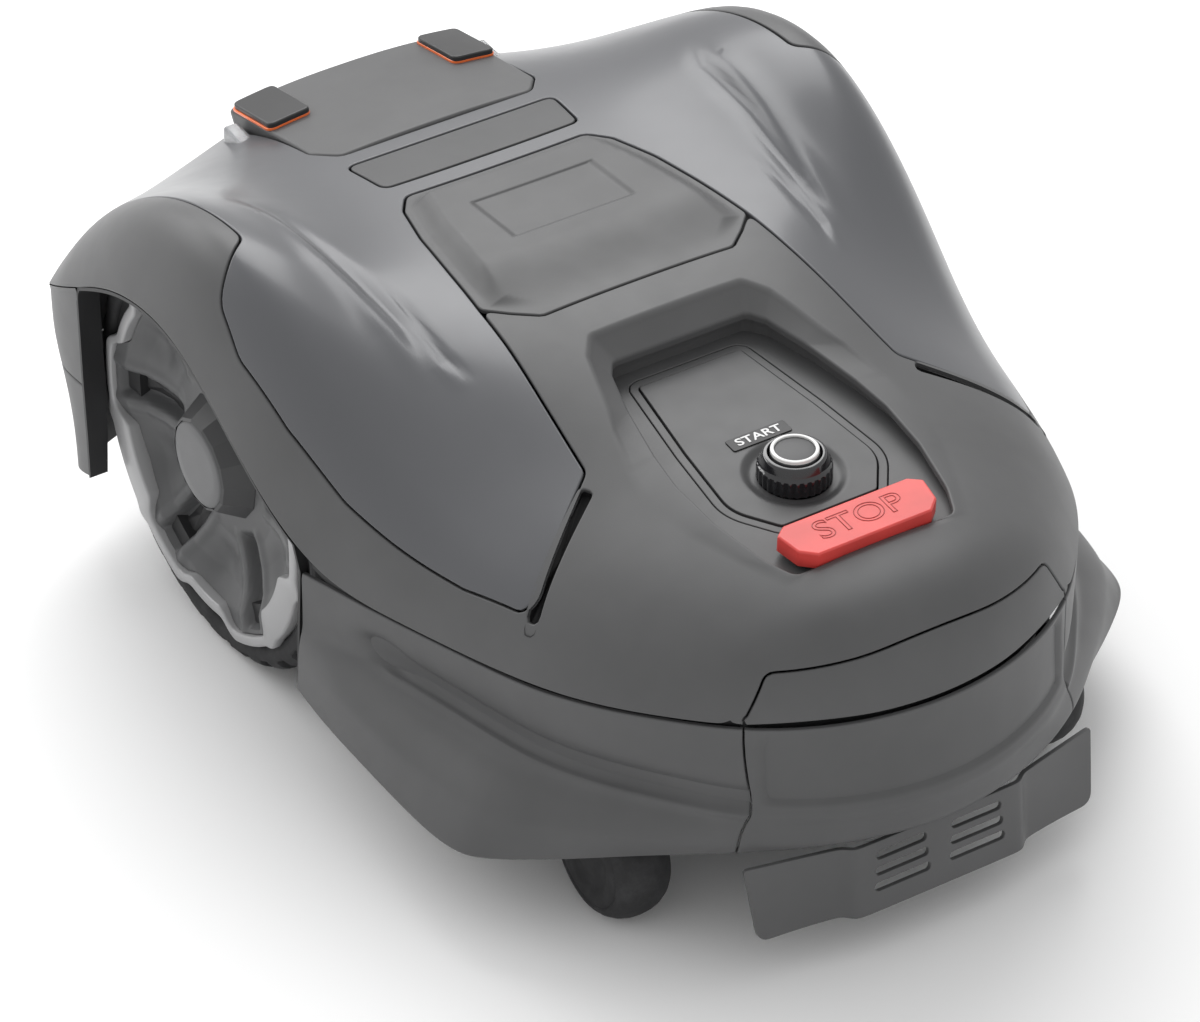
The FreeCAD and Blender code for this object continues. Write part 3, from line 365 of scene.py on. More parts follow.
def fill(patch, loops, grid):
    """Points and triangles that cover the region between closed loops of parameters."""
    flat = [loop * patch.scale for loop in loops]
    low, high = np.vstack(flat).min(0), np.vstack(flat).max(0)
    middle = patch.v_max * patch.scale[1] / 2
    columns = int(math.ceil(max(abs(high[1] - middle), abs(low[1] - middle)) / grid))
    vs = middle + np.arange(-columns, columns + 1) * grid
    us = np.arange(low[0], high[0] + grid, grid)
    cloud = np.stack([np.repeat(us, len(vs)), np.tile(vs, len(us))], 1)
    cloud = cloud[inside(cloud, flat)]
    cloud = cloud[~near_loops(cloud, flat, grid * 0.62)]
    edges = []
    for loop in flat:
        start = len(edges)
        edges += [(start + i, start + j) for i, j in spans(len(loop))]
    out = delaunay_2d_cdt([Vector(p) for p in np.vstack(flat + [cloud])], edges, [], 0, 1e-5)
    verts, tris = np.array([tuple(v) for v in out[0]]), np.array(out[2])
    tris = tris[inside(verts[tris].mean(1), flat)]
    where = {ids[0]: i for i, ids in enumerate(out[3]) if ids}
    return verts / patch.scale, tris, where


def panel(patch, loops, roll=EDGE_ROLL, thick=SHELL, gap=PANEL_GAP / 2, grid=GRID, open_strips=None,
          snug=None, onto=None):
    """A moulded panel: a smooth face, rolled edges, side walls and an underside.

    loops run anticlockwise round the panel and clockwise round its holes, as seen from outside.
    open_strips gives, for a loop's number, rows of points that carry the face on past that loop.
    snug scales the gap and the rolled edge at given points. onto is a shape to add the panel to.
    """
    open_strips = open_strips or {}
    shape = onto or Shape()
    insets, rolls = [], []
    for k, loop in enumerate(loops):
        scale = snug(patch.bare_point(loop[:, 0], loop[:, 1])) if snug else np.ones(len(loop))
        rolls.append((roll * scale)[:, None])
        insets.append(loop if k in open_strips else patch.inset(loop, (gap + roll) * scale))
    params, tris, where = fill(patch, insets, grid)
    u, v = params[:, 0], params[:, 1]
    top, top_normal, bare_normal = patch.point(u, v), patch.normal(u, v), patch.bare_normal(u, v)
    under = patch.bare_point(u, v) - bare_normal * thick
    top_ids, under_ids = shape.add(top), shape.add(under)
    a, b, c = params[tris[0]][:3]
    flip = ((b - a)[0] * (c - a)[1] - (b - a)[1] * (c - a)[0]) < 0
    for tri in tris:
        t = tri[::-1] if flip else tri
        shape.face(top_ids[t], top_normal[t])
        shape.face(under_ids[t[::-1]], -bare_normal[t[::-1]])
    start = 0
    for k, loop in enumerate(insets):
        ids = np.array([where[start + i] for i in range(len(loop))])
        start += len(loop)
        before, edge, normal = top_ids[ids], top[ids], top_normal[ids]
        if k in open_strips:
            rows = [edge] + open_strips[k](edge, normal)
            loft(shape, rows, crease=45.0, start=(before, normal), stop=under_ids[ids])
            continue
        out, before_normal = -patch.side(loop), normal
        for step in range(1, 5):
            angle = HALF_PI * step / 4
            row = edge + out * rolls[k] * math.sin(angle) - normal * rolls[k] * (1 - math.cos(angle))
            row_normal = unit(normal * math.cos(angle) + out * math.sin(angle))
            now = shape.add(row)
            shape.strip(before, now, before_normal, row_normal)
            before, before_normal = now, row_normal
        foot = shape.add(under[ids] + out * rolls[k])
        shape.strip(before, foot, out, out)
        shape.strip(foot, under_ids[ids], -bare_normal[ids], -bare_normal[ids])
    return shape


def loft(shape, rows, crease=40.0, closed=True, flat=False, start=None, stop=None):
    """Rows of points joined by quads, creased where the surface turns by more than crease degrees.

    Seen from outside, each row runs anticlockwise about the outward side of the rows before it.
    start gives the shape's points and normals for the first row, and stop the points that the
    last row is joined to.
    """
    facing = []
    for a, b in zip(rows, rows[1:]):
        middle = (a + b) / 2
        along = np.roll(middle, -1, 0) - np.roll(middle, 1, 0)
        if not closed:
            along[0] = middle[1] - middle[0]
            along[-1] = middle[-1] - middle[-2]
        facing.append(unit(np.cross(along, a - b)))
    ids = [start[0] if start else shape.add(rows[0])] + [shape.add(row) for row in rows[1:]]
    limit = math.cos(math.radians(crease))
    for j, face in enumerate(facing):
        ends = []
        for other in (j - 1, j + 1):
            blend = face
            if 0 <= other < len(facing):
                soft = (facing[other] * face).sum(1)[:, None] > limit
                blend = np.where(soft, unit(facing[other] + face), face)
            ends.append(blend)
        if start and j == 0:
            ends[0] = start[1]
        if not flat:
            shape.strip(ids[j], ids[j + 1], ends[0], ends[1], closed)
            continue
        for i, k in spans(len(face), closed):
            corners = rows[j + 1][i], rows[j + 1][k], rows[j][k], rows[j][i]
            normal = unit(np.cross(corners[2] - corners[0], corners[3] - corners[1]))
            shape.face((ids[j + 1][i], ids[j + 1][k], ids[j][k], ids[j][i]), [normal] * 4)
    if stop is not None:
        shape.strip(ids[-1], stop, facing[-1], facing[-1], closed)
    return shape


def ring(radius, height, centre, axis, count=96):
    """Points round an axis along z or x; radius and height may vary round the ring."""
    angle = np.arange(count) * FULL_TURN / count
    a, b = radius * np.cos(angle), radius * np.sin(angle)
    h = np.broadcast_to(height, a.shape)
    columns = (a, b, h) if axis == "z" else (h, a, b)
    return np.column_stack(columns) + np.array(centre)


def turned(shape, profile, centre, axis="z", count=96, flat=False):
    """A turned piece; the profile (radius, height) runs out from the middle of its top, then down."""
    return loft(shape, [ring(r, h, centre, axis, count) for r, h in profile], flat=flat)


# ---- materials
class Nodes:
    """A short way to build a material's nodes."""

    def __init__(self, name):
        self.material = bpy.data.materials.new(name)
        self.material.use_nodes = True
        self.tree = self.material.node_tree
        self.coordinates = self.tree.nodes.new("ShaderNodeTexCoord").outputs["Object"]

    def set(self, socket, value):
        if isinstance(value, bpy.types.NodeSocket):
            self.tree.links.new(value, socket)
        else:
            socket.default_value = value

    def node(self, kind, **inputs):
        made = self.tree.nodes.new(kind)
        for key, value in inputs.items():
            self.set(made.inputs[key.replace("_", " ")], value)
        return made

    def noise(self, scale, detail=2.0, roughness=0.5):
        return self.node("ShaderNodeTexNoise", Vector=self.coordinates, Scale=scale, Detail=detail,
                         Roughness=roughness).outputs["Fac"]

    def cells(self, scale):
        return self.node("ShaderNodeTexVoronoi", Vector=self.coordinates, Scale=scale).outputs["Distance"]

    def ramp(self, factor, low, high):
        """A colour that runs between two stops, each a place and a colour."""
        made = self.node("ShaderNodeValToRGB", Fac=factor)
        for stop, (at, color) in zip(made.color_ramp.elements, (low, high)):
            stop.position = at
            stop.color = (*color, 1.0)
        return made.outputs["Color"]

    def mix(self, share, first, second):
        made = self.tree.nodes.new("ShaderNodeMix")
        made.data_type = "RGBA"
        for k, value in ((0, share), (6, first), (7, second)):
            self.set(made.inputs[k], value)
        return made.outputs[2]

    def spread(self, factor, low, high):
        return self.node("ShaderNodeMapRange", Value=factor, To_Min=low, To_Max=high).outputs["Result"]

    def bump(self, height, strength, distance):
        return self.node("ShaderNodeBump", Height=height, Strength=strength,
                         Distance=distance).outputs["Normal"]

    def wire(self, **inputs):
        shader = self.tree.nodes["Principled BSDF"]
        for key, value in inputs.items():
            self.set(shader.inputs[key.replace("_", " ")], value)
        return self.material


def shade(color, factor):
    return tuple(min(c * factor, 1.0) for c in color)


def moulded(name, color, roughness=0.5, grain=1.0):
    """Moulded plastic: a fine leathery grain, slightly uneven colour and sheen, faint scuffs."""
    n = Nodes(name)
    tint = n.ramp(n.noise(9.0, 4.0, 0.6), (0.3, shade(color, 0.9)), (0.7, shade(color, 1.1)))
    worn = n.ramp(n.noise(160.0, 6.0, 0.75), (0.62, (0, 0, 0)), (0.8, (1, 1, 1)))
    mixed = n.mix(n.spread(worn, 0.0, 0.16), tint, (*shade(color, 1.8), 1.0))
    rough = n.spread(n.noise(45.0, 3.0), roughness - 0.05, roughness + 0.06)
    fine = n.bump(n.cells(1500.0), 0.10 * grain, 0.0002)
    return n.wire(Base_Color=mixed, Roughness=rough, Normal=fine, Specular_IOR_Level=0.4)


def lacquer(name, color, flake, roughness, coat):
    """Metallic lacquer: fine flakes under a clear coat with a faint orange-peel ripple."""
    n = Nodes(name)
    tint = n.ramp(n.cells(4200.0), (0.05, shade(color, 1.0 + flake)), (0.35, shade(color, 0.96)))
    mixed = n.mix(n.spread(n.noise(5.0, 2.0), 0.0, 0.18), tint, (*shade(color, 0.86), 1.0))
    ripple = n.bump(n.noise(60.0, 1.0), 0.02, 0.0004)
    rough = n.spread(n.noise(60.0, 3.0), roughness - 0.03, roughness + 0.04)
    return n.wire(Base_Color=mixed, Metallic=0.1, Roughness=rough, Normal=ripple,
                  Coat_Weight=coat, Coat_Roughness=0.16, Coat_IOR=1.5)


def polished(name, color, roughness=0.12, coat=0.5):
    """Glossy moulded plastic with hair-fine handling marks."""
    n = Nodes(name)
    marks = n.noise(700.0, 5.0, 0.8)
    tint = n.ramp(n.noise(30.0, 3.0), (0.3, shade(color, 0.9)), (0.7, shade(color, 1.12)))
    rough = n.spread(marks, roughness, roughness + 0.12)
    return n.wire(Base_Color=tint, Roughness=rough, Normal=n.bump(marks, 0.015, 0.0002),
                  Coat_Weight=coat, Coat_Roughness=0.06)


def rubber(name, color):
    """Moulded rubber: dull, dusty in places."""
    n = Nodes(name)
    tint = n.ramp(n.noise(60.0, 6.0, 0.7), (0.45, color), (0.75, shade(color, 1.9)))
    rough = n.spread(n.noise(90.0), 0.62, 0.8)
    return n.wire(Base_Color=tint, Roughness=rough, Normal=n.bump(n.cells(900.0), 0.15, 0.0003),
                  Specular_IOR_Level=0.3)


def metal(name, color, roughness=0.3):
    """Turned or ground metal with fine streaks."""
    n = Nodes(name)
    stretch = n.node("ShaderNodeMapping", Vector=n.coordinates, Scale=(1.0, 60.0, 60.0)).outputs["Vector"]
    streaks = n.node("ShaderNodeTexNoise", Vector=stretch, Scale=30.0, Detail=4.0).outputs["Fac"]
    tint = n.ramp(streaks, (0.3, shade(color, 0.8)), (0.7, shade(color, 1.1)))
    rough = n.spread(streaks, roughness - 0.08, roughness + 0.12)
    return n.wire(Base_Color=tint, Metallic=1.0, Roughness=rough, Normal=n.bump(streaks, 0.05, 0.0002))


def clear_lens(name):
    """Clear moulded lens with vertical flutes."""
    n = Nodes(name)
    wave = n.node("ShaderNodeTexWave", Vector=n.coordinates, Scale=260.0)
    wave.bands_direction = "Y"
    tint = n.ramp(n.noise(40.0), (0.3, (0.82, 0.84, 0.87)), (0.7, (0.93, 0.94, 0.96)))
    return n.wire(Base_Color=tint, Roughness=0.08, Transmission_Weight=0.75, IOR=1.49,
                  Normal=n.bump(wave.outputs["Fac"], 0.3, 0.0008), Coat_Weight=0.4, Coat_Roughness=0.03)


BODY_GREY = (0.085, 0.0855, 0.087)
body_plastic = moulded("body_plastic", BODY_GREY, 0.46)
glossy_grey = lacquer("glossy_grey", (0.09, 0.092, 0.099), 0.12, 0.34, 0.18)
satin_plate = moulded("satin_plate", (0.058, 0.0585, 0.06), 0.4, 0.6)
gloss_black = polished("gloss_black", (0.012, 0.012, 0.014), 0.1)
cap_plastic = moulded("cap_plastic", (0.028, 0.028, 0.029), 0.34, 0.5)
# near-black plastic of the chassis parts; the same colour also paints shade behind the seams and vents, in
# the wheel wells and under the stop button
dark_plastic = moulded("dark_plastic", (0.018, 0.018, 0.019), 0.5, 1.0)
stop_red = polished("stop_red", (0.66, 0.058, 0.05), 0.36, 0.1)
knob_black = polished("knob_black", (0.016, 0.016, 0.018), 0.34, 0.0)
# a darker red that paints the shade along the edges of the engraved STOP letters
stop_shade_red = polished("stop_shade_red", (0.36, 0.02, 0.016), 0.4, 0.1)
orange_trim = polished("orange_trim", (0.85, 0.16, 0.03), 0.25, 0.3)
white_ring = polished("white_ring", (0.75, 0.75, 0.74), 0.2, 0.3)
label_black = moulded("label_black", (0.012, 0.012, 0.013), 0.4, 0.5)
label_white = moulded("label_white", (0.75, 0.75, 0.75), 0.5, 0.3)
lens_clear = clear_lens("lens_clear")
tyre_rubber = rubber("tyre_rubber", (0.022, 0.022, 0.023))
wheel_grey = moulded("wheel_grey", (0.085, 0.086, 0.088), 0.42, 0.6)
hub_grey = moulded("hub_grey", (0.055, 0.0555, 0.057), 0.42, 0.6)
hub_light = moulded("hub_light", (0.1, 0.101, 0.104), 0.4, 0.6)
silver = lacquer("silver", (0.34, 0.34, 0.345), 0.12, 0.4, 0.15)
seal_rubber = rubber("seal_rubber", (0.012, 0.012, 0.012))
steel = metal("steel", (0.56, 0.56, 0.57))
brass = metal("brass", (0.72, 0.56, 0.24), 0.35)
battery_case = moulded("battery_case", (0.05, 0.06, 0.085), 0.5)
board_green = polished("board_green", (0.02, 0.12, 0.05), 0.35, 0.2)
motor_paint = polished("motor_paint", (0.05, 0.05, 0.055), 0.4, 0.1)

CAD_MATERIALS = {
    dark_plastic: "chassis_tub chassis_lid floating_frame height_guide skid_plate guide_posts "
                  "caster_fork_left caster_fork_right bridge_caps",
    seal_rubber: "lid_seal rubber_cushions",
    steel: "lid_screws height_screw blade_disc blade_screws blade_1 blade_2 blade_3 wheel_shaft_left "
           "wheel_shaft_right caster_axle_left caster_axle_right",
    brass: "charge_contacts",
    battery_case: "battery",
    board_green: "main_board",
    motor_paint: "height_motor cutting_motor wheel_motor_left wheel_motor_right",
    tyre_rubber: "tyre_left tyre_right caster_wheel_left caster_wheel_right",
    wheel_grey: "wheel_rim_left wheel_rim_right wheel_cover_left wheel_cover_right hub_cap_left "
                "hub_cap_right",
    silver: "wheel_trim_left wheel_trim_right",
    orange_trim: "bridge_trims",
    lens_clear: "headlight_lenses",
    label_black: "start_label",
    gloss_black: "button_collar start_button",
    white_ring: "start_ring",
    stop_red: "stop_button",
    satin_plate: "nameplate console_plate",
    body_plastic: "hatch front_bridge front_bumper rear_bumper foot_guard console_tray skirt_left "
                  "skirt_right upper_body",
    glossy_grey: "top_cover",
}
for material, names in CAD_MATERIALS.items():
    for name in names.split():
        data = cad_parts[name].data
        data.materials.clear()
        data.materials.append(material)


# ---- the cover's surfaces
ACROSS = (0.0, 0.28, 0.46, 0.64, 0.80, 0.93, 1.0)
DECK_LINES = (
    (350, 32, 238, (232, 230, 218, 208, 205, 195, 178)),
    (318, 25, 248, (246, 244, 236, 232, 232, 222, 194)),
    (270, 10, 250, (260, 259, 255, 256, 264, 256, 212)),
    (205, 0, 250, (268, 268, 270, 282, 300, 296, 244)),
    (140, 0, 250, (272, 273, 277, 294, 318, 313, 254)),
    (85, 0, 250, (277, 277, 279, 292, 313, 304, 230)),
    (25, 0, 248, (281, 280, 279, 277, 280, 266, 184)),
    (-30, 0, 238, (282, 281, 274, 258, 245, 228, 156)),
    (-90, 0, 222, (271, 271, 263, 244, 226, 208, 159)),
    (-150, 0, 208, (256, 256, 250, 240, 226, 206, 165)),
    (-208, 2, 189, (248, 248, 243, 235, 222, 202, 170)),
    (-285, -30, 160, (240, 240, 235, 226, 212, 192, 173)),
    (-330, -48, 136, (230, 230, 226, 218, 204, 188, 175)),
    (-342, -46, 122, (178, 178, 178, 178, 177, 176, 175)),
)


DECK_POLES = [mirror_row([(s * half, y - bow * s * s, z) for s, z in zip(ACROSS, heights)])
              for y, bow, half, heights in DECK_LINES]
deck = Patch(DECK_POLES)


# ---- outlines in plan
WING_OUTER = [(202, 345, 0), (202, 196, 10), (201, 122, 12), (232, 99, 14), (236, 70, 40),
              (231, 22, 60), (222, -29, 60), (212, -70, 60), (198, -126, 60), (184, -169, 10)]
WING_END = [(176, -172, 8), (112, -126, 7)]
WING_INNER = [(106, -67, 60), (101, -22, 60)]
HATCH_SIDE = [(97.5, 17, 7), (92, 62, 60), (86, 105, 60), (77, 141, 9), (66, 157, 9)]
HATCH_BACK = [(84, 3, 7), (69, -10, 7)]
BRIDGE_SIDE = [(86, 348, 0), (84, 246, 9), (71, 229, 9)]
RIM = [(56, -38, 7), (68, -54, 10), (82, -101, 60), (95, -141, 40), (99, -171, 30), (91, -206, 40),
       (77, -244, 40), (66, -272, 10)]


def deck_loop(corners, step=OUTLINE_STEP):
    """A closed plan outline as evenly spaced parameters on the deck."""
    return deck.locate(resample(rounded(corners), step))


def deck_seam(right):
    """Parameters on the deck along a line whose right half starts at the front edge."""
    seam = deck.locate(resample(rounded(right_to_left(right), closed=False), OUTLINE_STEP, closed=False))
    seam[0, 0] = seam[-1, 0] = 0.0
    return seam


def deck_edge(u0, v0, u1, v1):
    """A straight run of parameters between two points on the deck's rim."""
    length = max(abs(u1 - u0) * deck.scale[0], abs(v1 - v0) * deck.scale[1])
    t = np.linspace(0, 1, max(int(length / OUTLINE_STEP), 2))[:, None]
    return np.array([[u0, v0]]) * (1 - t) + np.array([[u1, v1]]) * t


def even(params, patch):
    """The same closed loop of parameters, evenly spaced in millimetres."""
    return resample(params * patch.scale, OUTLINE_STEP) / patch.scale


SEAM_RIGHT = WING_OUTER + WING_END + WING_INNER + [HATCH_SIDE[0]] + HATCH_BACK
NOTCH = [(-117, 178, 0), (-113, 181, 4), (-99, 207, 9), (0, 217, 300), (99, 207, 9), (113, 181, 4),
         (117, 178, 0)]
VENT = [(120, -134, 2.5), (184, -174.5, 2.5), (181, -181, 2.5), (117, -141, 2.5)]


def back_seam():
    """The notch in the back of the cover, from left to right."""
    line = resample(rounded(NOTCH, closed=False), OUTLINE_STEP, closed=False)
    seam = deck.locate(line, upright_from=deck.u_max - 2.2)
    seam[0, 0] = seam[-1, 0] = deck.u_max
    return seam


def body_outer_loop():
    """Round the upper body: fenders, wing seams, back of the hatch, and the lower seam."""
    last_u, last_v = deck.u_max, deck.v_max
    seam, back = deck_seam(SEAM_RIGHT), back_seam()
    edges = [deck_edge(0.0, last_v, 0.0, seam[0, 1])[:-1], seam,
             deck_edge(0.0, seam[-1, 1], 0.0, 0.0)[1:],
             deck_edge(0.0, 0.0, last_u, 0.0)[1:],
             deck_edge(last_u, 0.0, last_u, back[0, 1])[1:-1], back,
             deck_edge(last_u, back[-1, 1], last_u, last_v)[1:],
             deck_edge(last_u, last_v, 0.0, last_v)[1:-1]]
    return even(np.vstack(edges), deck)


# ---- console: rim, floor and plate
STEP = [(48, -56, 6), (55, -66, 8), (64, -98, 50), (72, -140, 40), (75, -168, 30), (73, -206, 40),
        (65, -246, 40), (56, -266, 8)]
FLOOR_Z, FLOOR_SLOPE = 247.0, 0.07
STEP_Z, STEP_SLOPE = 264.0, 0.118
SLOPE_START = -60.0           # where the console's floor and lip have the heights above
RIM_FILLET = 3.4
LIP_FILLET = 1.8
LIP_DROP = 4.5
UNDERCUT = 5.0


def above_floor(y, rise=0.0):
    """A height over the console's floor, which rises to the front."""
    return FLOOR_Z + rise + FLOOR_SLOPE * (y - SLOPE_START)


def plane(rise):
    """A flat patch above the console's floor."""
    across = np.linspace(-110, 110, 4)
    return Patch([[(x, y, above_floor(y, rise)) for x in across] for y in np.linspace(-20, -300, 4)])


def console_strips(edge, normal):
    """Rows that lead from the deck down the console's sloping rim and under its lip."""
    plan = matched(both(STEP))[::-1]
    lip = np.column_stack([plan, STEP_Z + STEP_SLOPE * (plan[:, 1] - SLOPE_START)])
    fall = lip - edge
    slant = fall / np.linalg.norm(fall, axis=1)[:, None]
    inward = unit(fall - normal * (fall * normal).sum(1)[:, None])
    rows = curve(edge, edge + inward * RIM_FILLET, edge + slant * 2.2 * RIM_FILLET, 6)[1:]
    down = np.array([0, 0, -1.0])
    rows += curve(lip - slant * LIP_FILLET, lip, lip + down * LIP_FILLET, 5)
    rows.append(lip + down * LIP_DROP)
    along = unit(np.roll(plan, -1, 0) - np.roll(plan, 1, 0))
    outward = np.column_stack([-along[:, 1], along[:, 0], np.zeros(len(plan))])
    rows.append(lip + down * LIP_DROP + outward * UNDERCUT)
    foot = rows[-1].copy()
    foot[:, 2] = above_floor(foot[:, 1], -1.5)
    return rows + [foot]


def snug_front(points):
    """How wide the seam is: hardly open where the fenders run into the front wall."""
    front = smooth_step((points[:, 1] - 235) / 20) * smooth_step((np.abs(points[:, 0]) - 180) / 20)
    return 1 - 0.8 * front


console_rim = deck.locate(matched(both(RIM)))[::-1]
vent_right = deck_loop(VENT, 2.0)
vent_left = deck_loop([(-x, y, radius) for x, y, radius in VENT][::-1], 2.0)
stand_in(panel(deck, [body_outer_loop(), console_rim, vent_right, vent_left],
               open_strips={1: console_strips}, snug=snug_front), "upper_body", body_plastic)

KNOB_Y = -181.0
DISH_RADIUS = 30.0
PLATE = [(37, -66, 3), (47, -134, 60), (53, -192, 30), (34, -219, 4)]
PLATE_RISE = 1.0
INLAY_MARGIN = 6.0
STOP_Y = -250.0
STEM_HOLE = 7.5
STEM_RADIUS = 6.0

floor_patch = plane(0.0)
step_plan = resample(rounded(both(STEP)), OUTLINE_STEP)
plate_plan = resample(rounded(both(PLATE)), 2.0)
inlay_plan = grown(plate_plan, INLAY_MARGIN)
stem_hole = circle(0, STOP_Y, STEM_HOLE, 36)
tray = Shape()
for outer, holes in ((grown(step_plan, UNDERCUT + 1), (inlay_plan, stem_hole)), (inlay_plan, (plate_plan,))):
    panel(floor_patch, [floor_patch.locate(outer)] + [floor_patch.locate(hole)[::-1] for hole in holes],
          gap=0.35, roll=0.6, onto=tray)
stand_in(tray, "console_tray", body_plastic, name="console_floor_looks")


def plate_relief(points):
    """A soft dish round the start button."""
    away = np.hypot(points[:, 0], points[:, 1] - KNOB_Y)
    return -2.6 * smooth_step((DISH_RADIUS + 3 - away) / 7.0)


plate_patch = plane(PLATE_RISE)
plate_patch.relief = plate_relief
plate_loops = [plate_patch.locate(plate_plan), plate_patch.locate(circle(0, KNOB_Y, 22))[::-1]]
stand_in(panel(plate_patch, plate_loops, gap=0.5, roll=0.6, grid=1.8), "console_plate", satin_plate)


# ---- painted shade: near-black pieces behind the cover's lower seam and under the vents, where the inside lies in shade
def seam_shade_pieces():
    # near-black sheets that paint the shade seen through the lower seam and the vents
    right, left = [deck.edge(v=v, count=300) for v in (deck.v_max, 0)]
    back = deck.edge(u=deck.u_max)[::-1]
    edge = np.vstack([right[right[:, 1] < -6], back[1:-1], left[::-1][left[::-1, 1] < -6]])
    edge = resample(edge, 5.0, closed=False)
    inward = unit((np.array([0, -120, 0]) - edge) * [1, 1, 0])
    shape = Shape()
    loft(shape, [edge + inward * 7 + [0, 0, 9], edge + inward * 5.5, edge + inward * 7 - [0, 0, 12]][::-1],
         closed=False)
    for loop in (vent_right, vent_left):
        centre = deck.bare_point(loop[:, 0], loop[:, 1])
        rim = centre + (centre - centre.mean(0)) * 0.12
        low_rim = rim - [0, 0, 9]
        loft(shape, [rim.mean(0) + (rim - rim.mean(0)) * 0.02 - [0, 0, 9], low_rim, rim - [0, 0, 3.2]])
    return shape.make("cover_shade_backing_looks", dark_plastic)


dress(seam_shade_pieces(), "cover")


# ---- start and stop buttons
RIB_COUNT = 30
collar_low, collar_high = box_mm("button_collar")
knob_low, knob_high = box_mm("start_button")
ribs = np.where(np.arange(4 * RIB_COUNT) % 4 < 2, 0.0, -0.9)
top, base, crown, rise = collar_high[2], collar_low[2], knob_high[2], box_mm("start_ring")[1][2]
at_knob = (0, KNOB_Y, 0)
COLLAR_PROFILE = ((16.2, -9, 0), (16.2, -1, 0), (16.8, 0, 0), (18.4, 0, 0), (19.2, -0.5, 0), (19.8, -1.6, 0),
                  (20.6, -5.5, 0), (21.4, -7.0, 0), (22.4, -7.6, 0), (23.0, -8.6, 1), (23.0, base - top, 1))
collar_rows = [ring(r + ribs * ribbed, top + h, at_knob, "z", 4 * RIB_COUNT)
               for r, h, ribbed in COLLAR_PROFILE]
stand_in(loft(Shape(), collar_rows), "button_collar", gloss_black)
knob = turned(Shape(), [(0.01, crown + 0.2), (6, crown + 0.1), (11.5, crown - 0.3), (14.2, crown - 0.9),
                        (15.2, crown - 2.2), (15.4, crown - 8), (15.4, knob_low[2])], at_knob)
stand_in(knob, "start_button", knob_black, "start_button")
white = turned(Shape(), [(12.4, crown - 1.0), (12.5, rise - 0.3), (12.9, rise), (14.2, rise),
                         (14.7, rise - 0.4), (14.8, crown - 1.4)], at_knob)
stand_in(white, "start_ring", white_ring, "start_button")

LABEL_Y = -142.5
label_patch = plane(PLATE_RISE + 0.8)
label_plan = box_plan(-21, LABEL_Y - 5.5, 21, LABEL_Y + 5.5, 1.5, 1.0)
stand_in(panel(label_patch, [label_patch.locate(label_plan)], gap=0.0, roll=0.3, thick=0.8, grid=3.0),
         "start_label", label_black)


def lettering(name, text, size, y, rise, material, wide, outline=False):
    """A word lying above the console's floor, filled or as a raised outline."""
    font = bpy.data.curves.new(name, "FONT")
    font.body = text
    font.align_x = font.align_y = "CENTER"
    font.size = size * MM
    if outline:
        font.fill_mode = "NONE"
        font.bevel_depth = 0.32 * MM
        font.bevel_resolution = 1
    else:
        font.extrude = 0.15 * MM
        font.offset = 0.12 * MM
    word = bpy.data.objects.new(name, font)
    bpy.context.scene.collection.objects.link(word)
    made = bpy.data.meshes.new_from_object(word.evaluated_get(bpy.context.evaluated_depsgraph_get()))
    bpy.data.objects.remove(word)
    made.transform(Matrix.Translation(Vector((0, y, above_floor(y, rise))) * MM)
                   @ Matrix.Rotation(math.atan(FLOOR_SLOPE), 4, "X") @ Matrix.Diagonal((wide, 1, 1, 1)))
    return place(name, made, material)


dress(lettering("start_word", "START", 9.0, LABEL_Y, PLATE_RISE + 0.95, label_white, 1.22), "cover")

STOP = [(44, -234, 1.5), (52, -240, 1.5), (49, -258, 1.5), (40, -266, 1.5)]
STOP_LOW, STOP_HIGH = 4.5, 15.5
STOP_MIDDLE = -249.5
stop_patch, foot_patch = plane(STOP_HIGH), plane(STOP_LOW + 0.5)
stop_plan = resample(rounded(both(STOP)), 1.5)
stand_in(panel(stop_patch, [stop_patch.locate(stop_plan)], gap=0.0, roll=1.4, thick=STOP_HIGH - STOP_LOW),
         "stop_button", stop_red, "stop_button")
# a near-black plate under the stop button paints the shade in the gap below it; the stem under it holds the
# button up
foot = panel(foot_patch, [foot_patch.locate(grown(stop_plan, -3.0))], gap=0.0, roll=0.3, thick=0.9, grid=6.0)
stem_top = above_floor(STOP_Y, STOP_LOW)
turned(foot, [(0.01, stem_top), (STEM_RADIUS, stem_top), (STEM_RADIUS, stem_top - 14),
              (0.01, stem_top - 14)], (0, STOP_Y, 0), count=36)
dress(foot.make("stop_stem_and_shade_looks", dark_plastic), "stop_button")
# the STOP letters are engraved in the same red; this raised darker outline paints the shade along their
# edges
dress(lettering("stop_edge_shade", "STOP", 23.0, STOP_MIDDLE, STOP_HIGH + 0.05, stop_shade_red, 1.12, outline=True),
      "stop_button")


# ---- glossy cover, hatch and nameplate
CREASE = ((170, 200), (157, 161), (152, 97), (144, 28), (143, -24))
FOLD = ((134, 74), (136, -6), (132, -23), (128, -34))


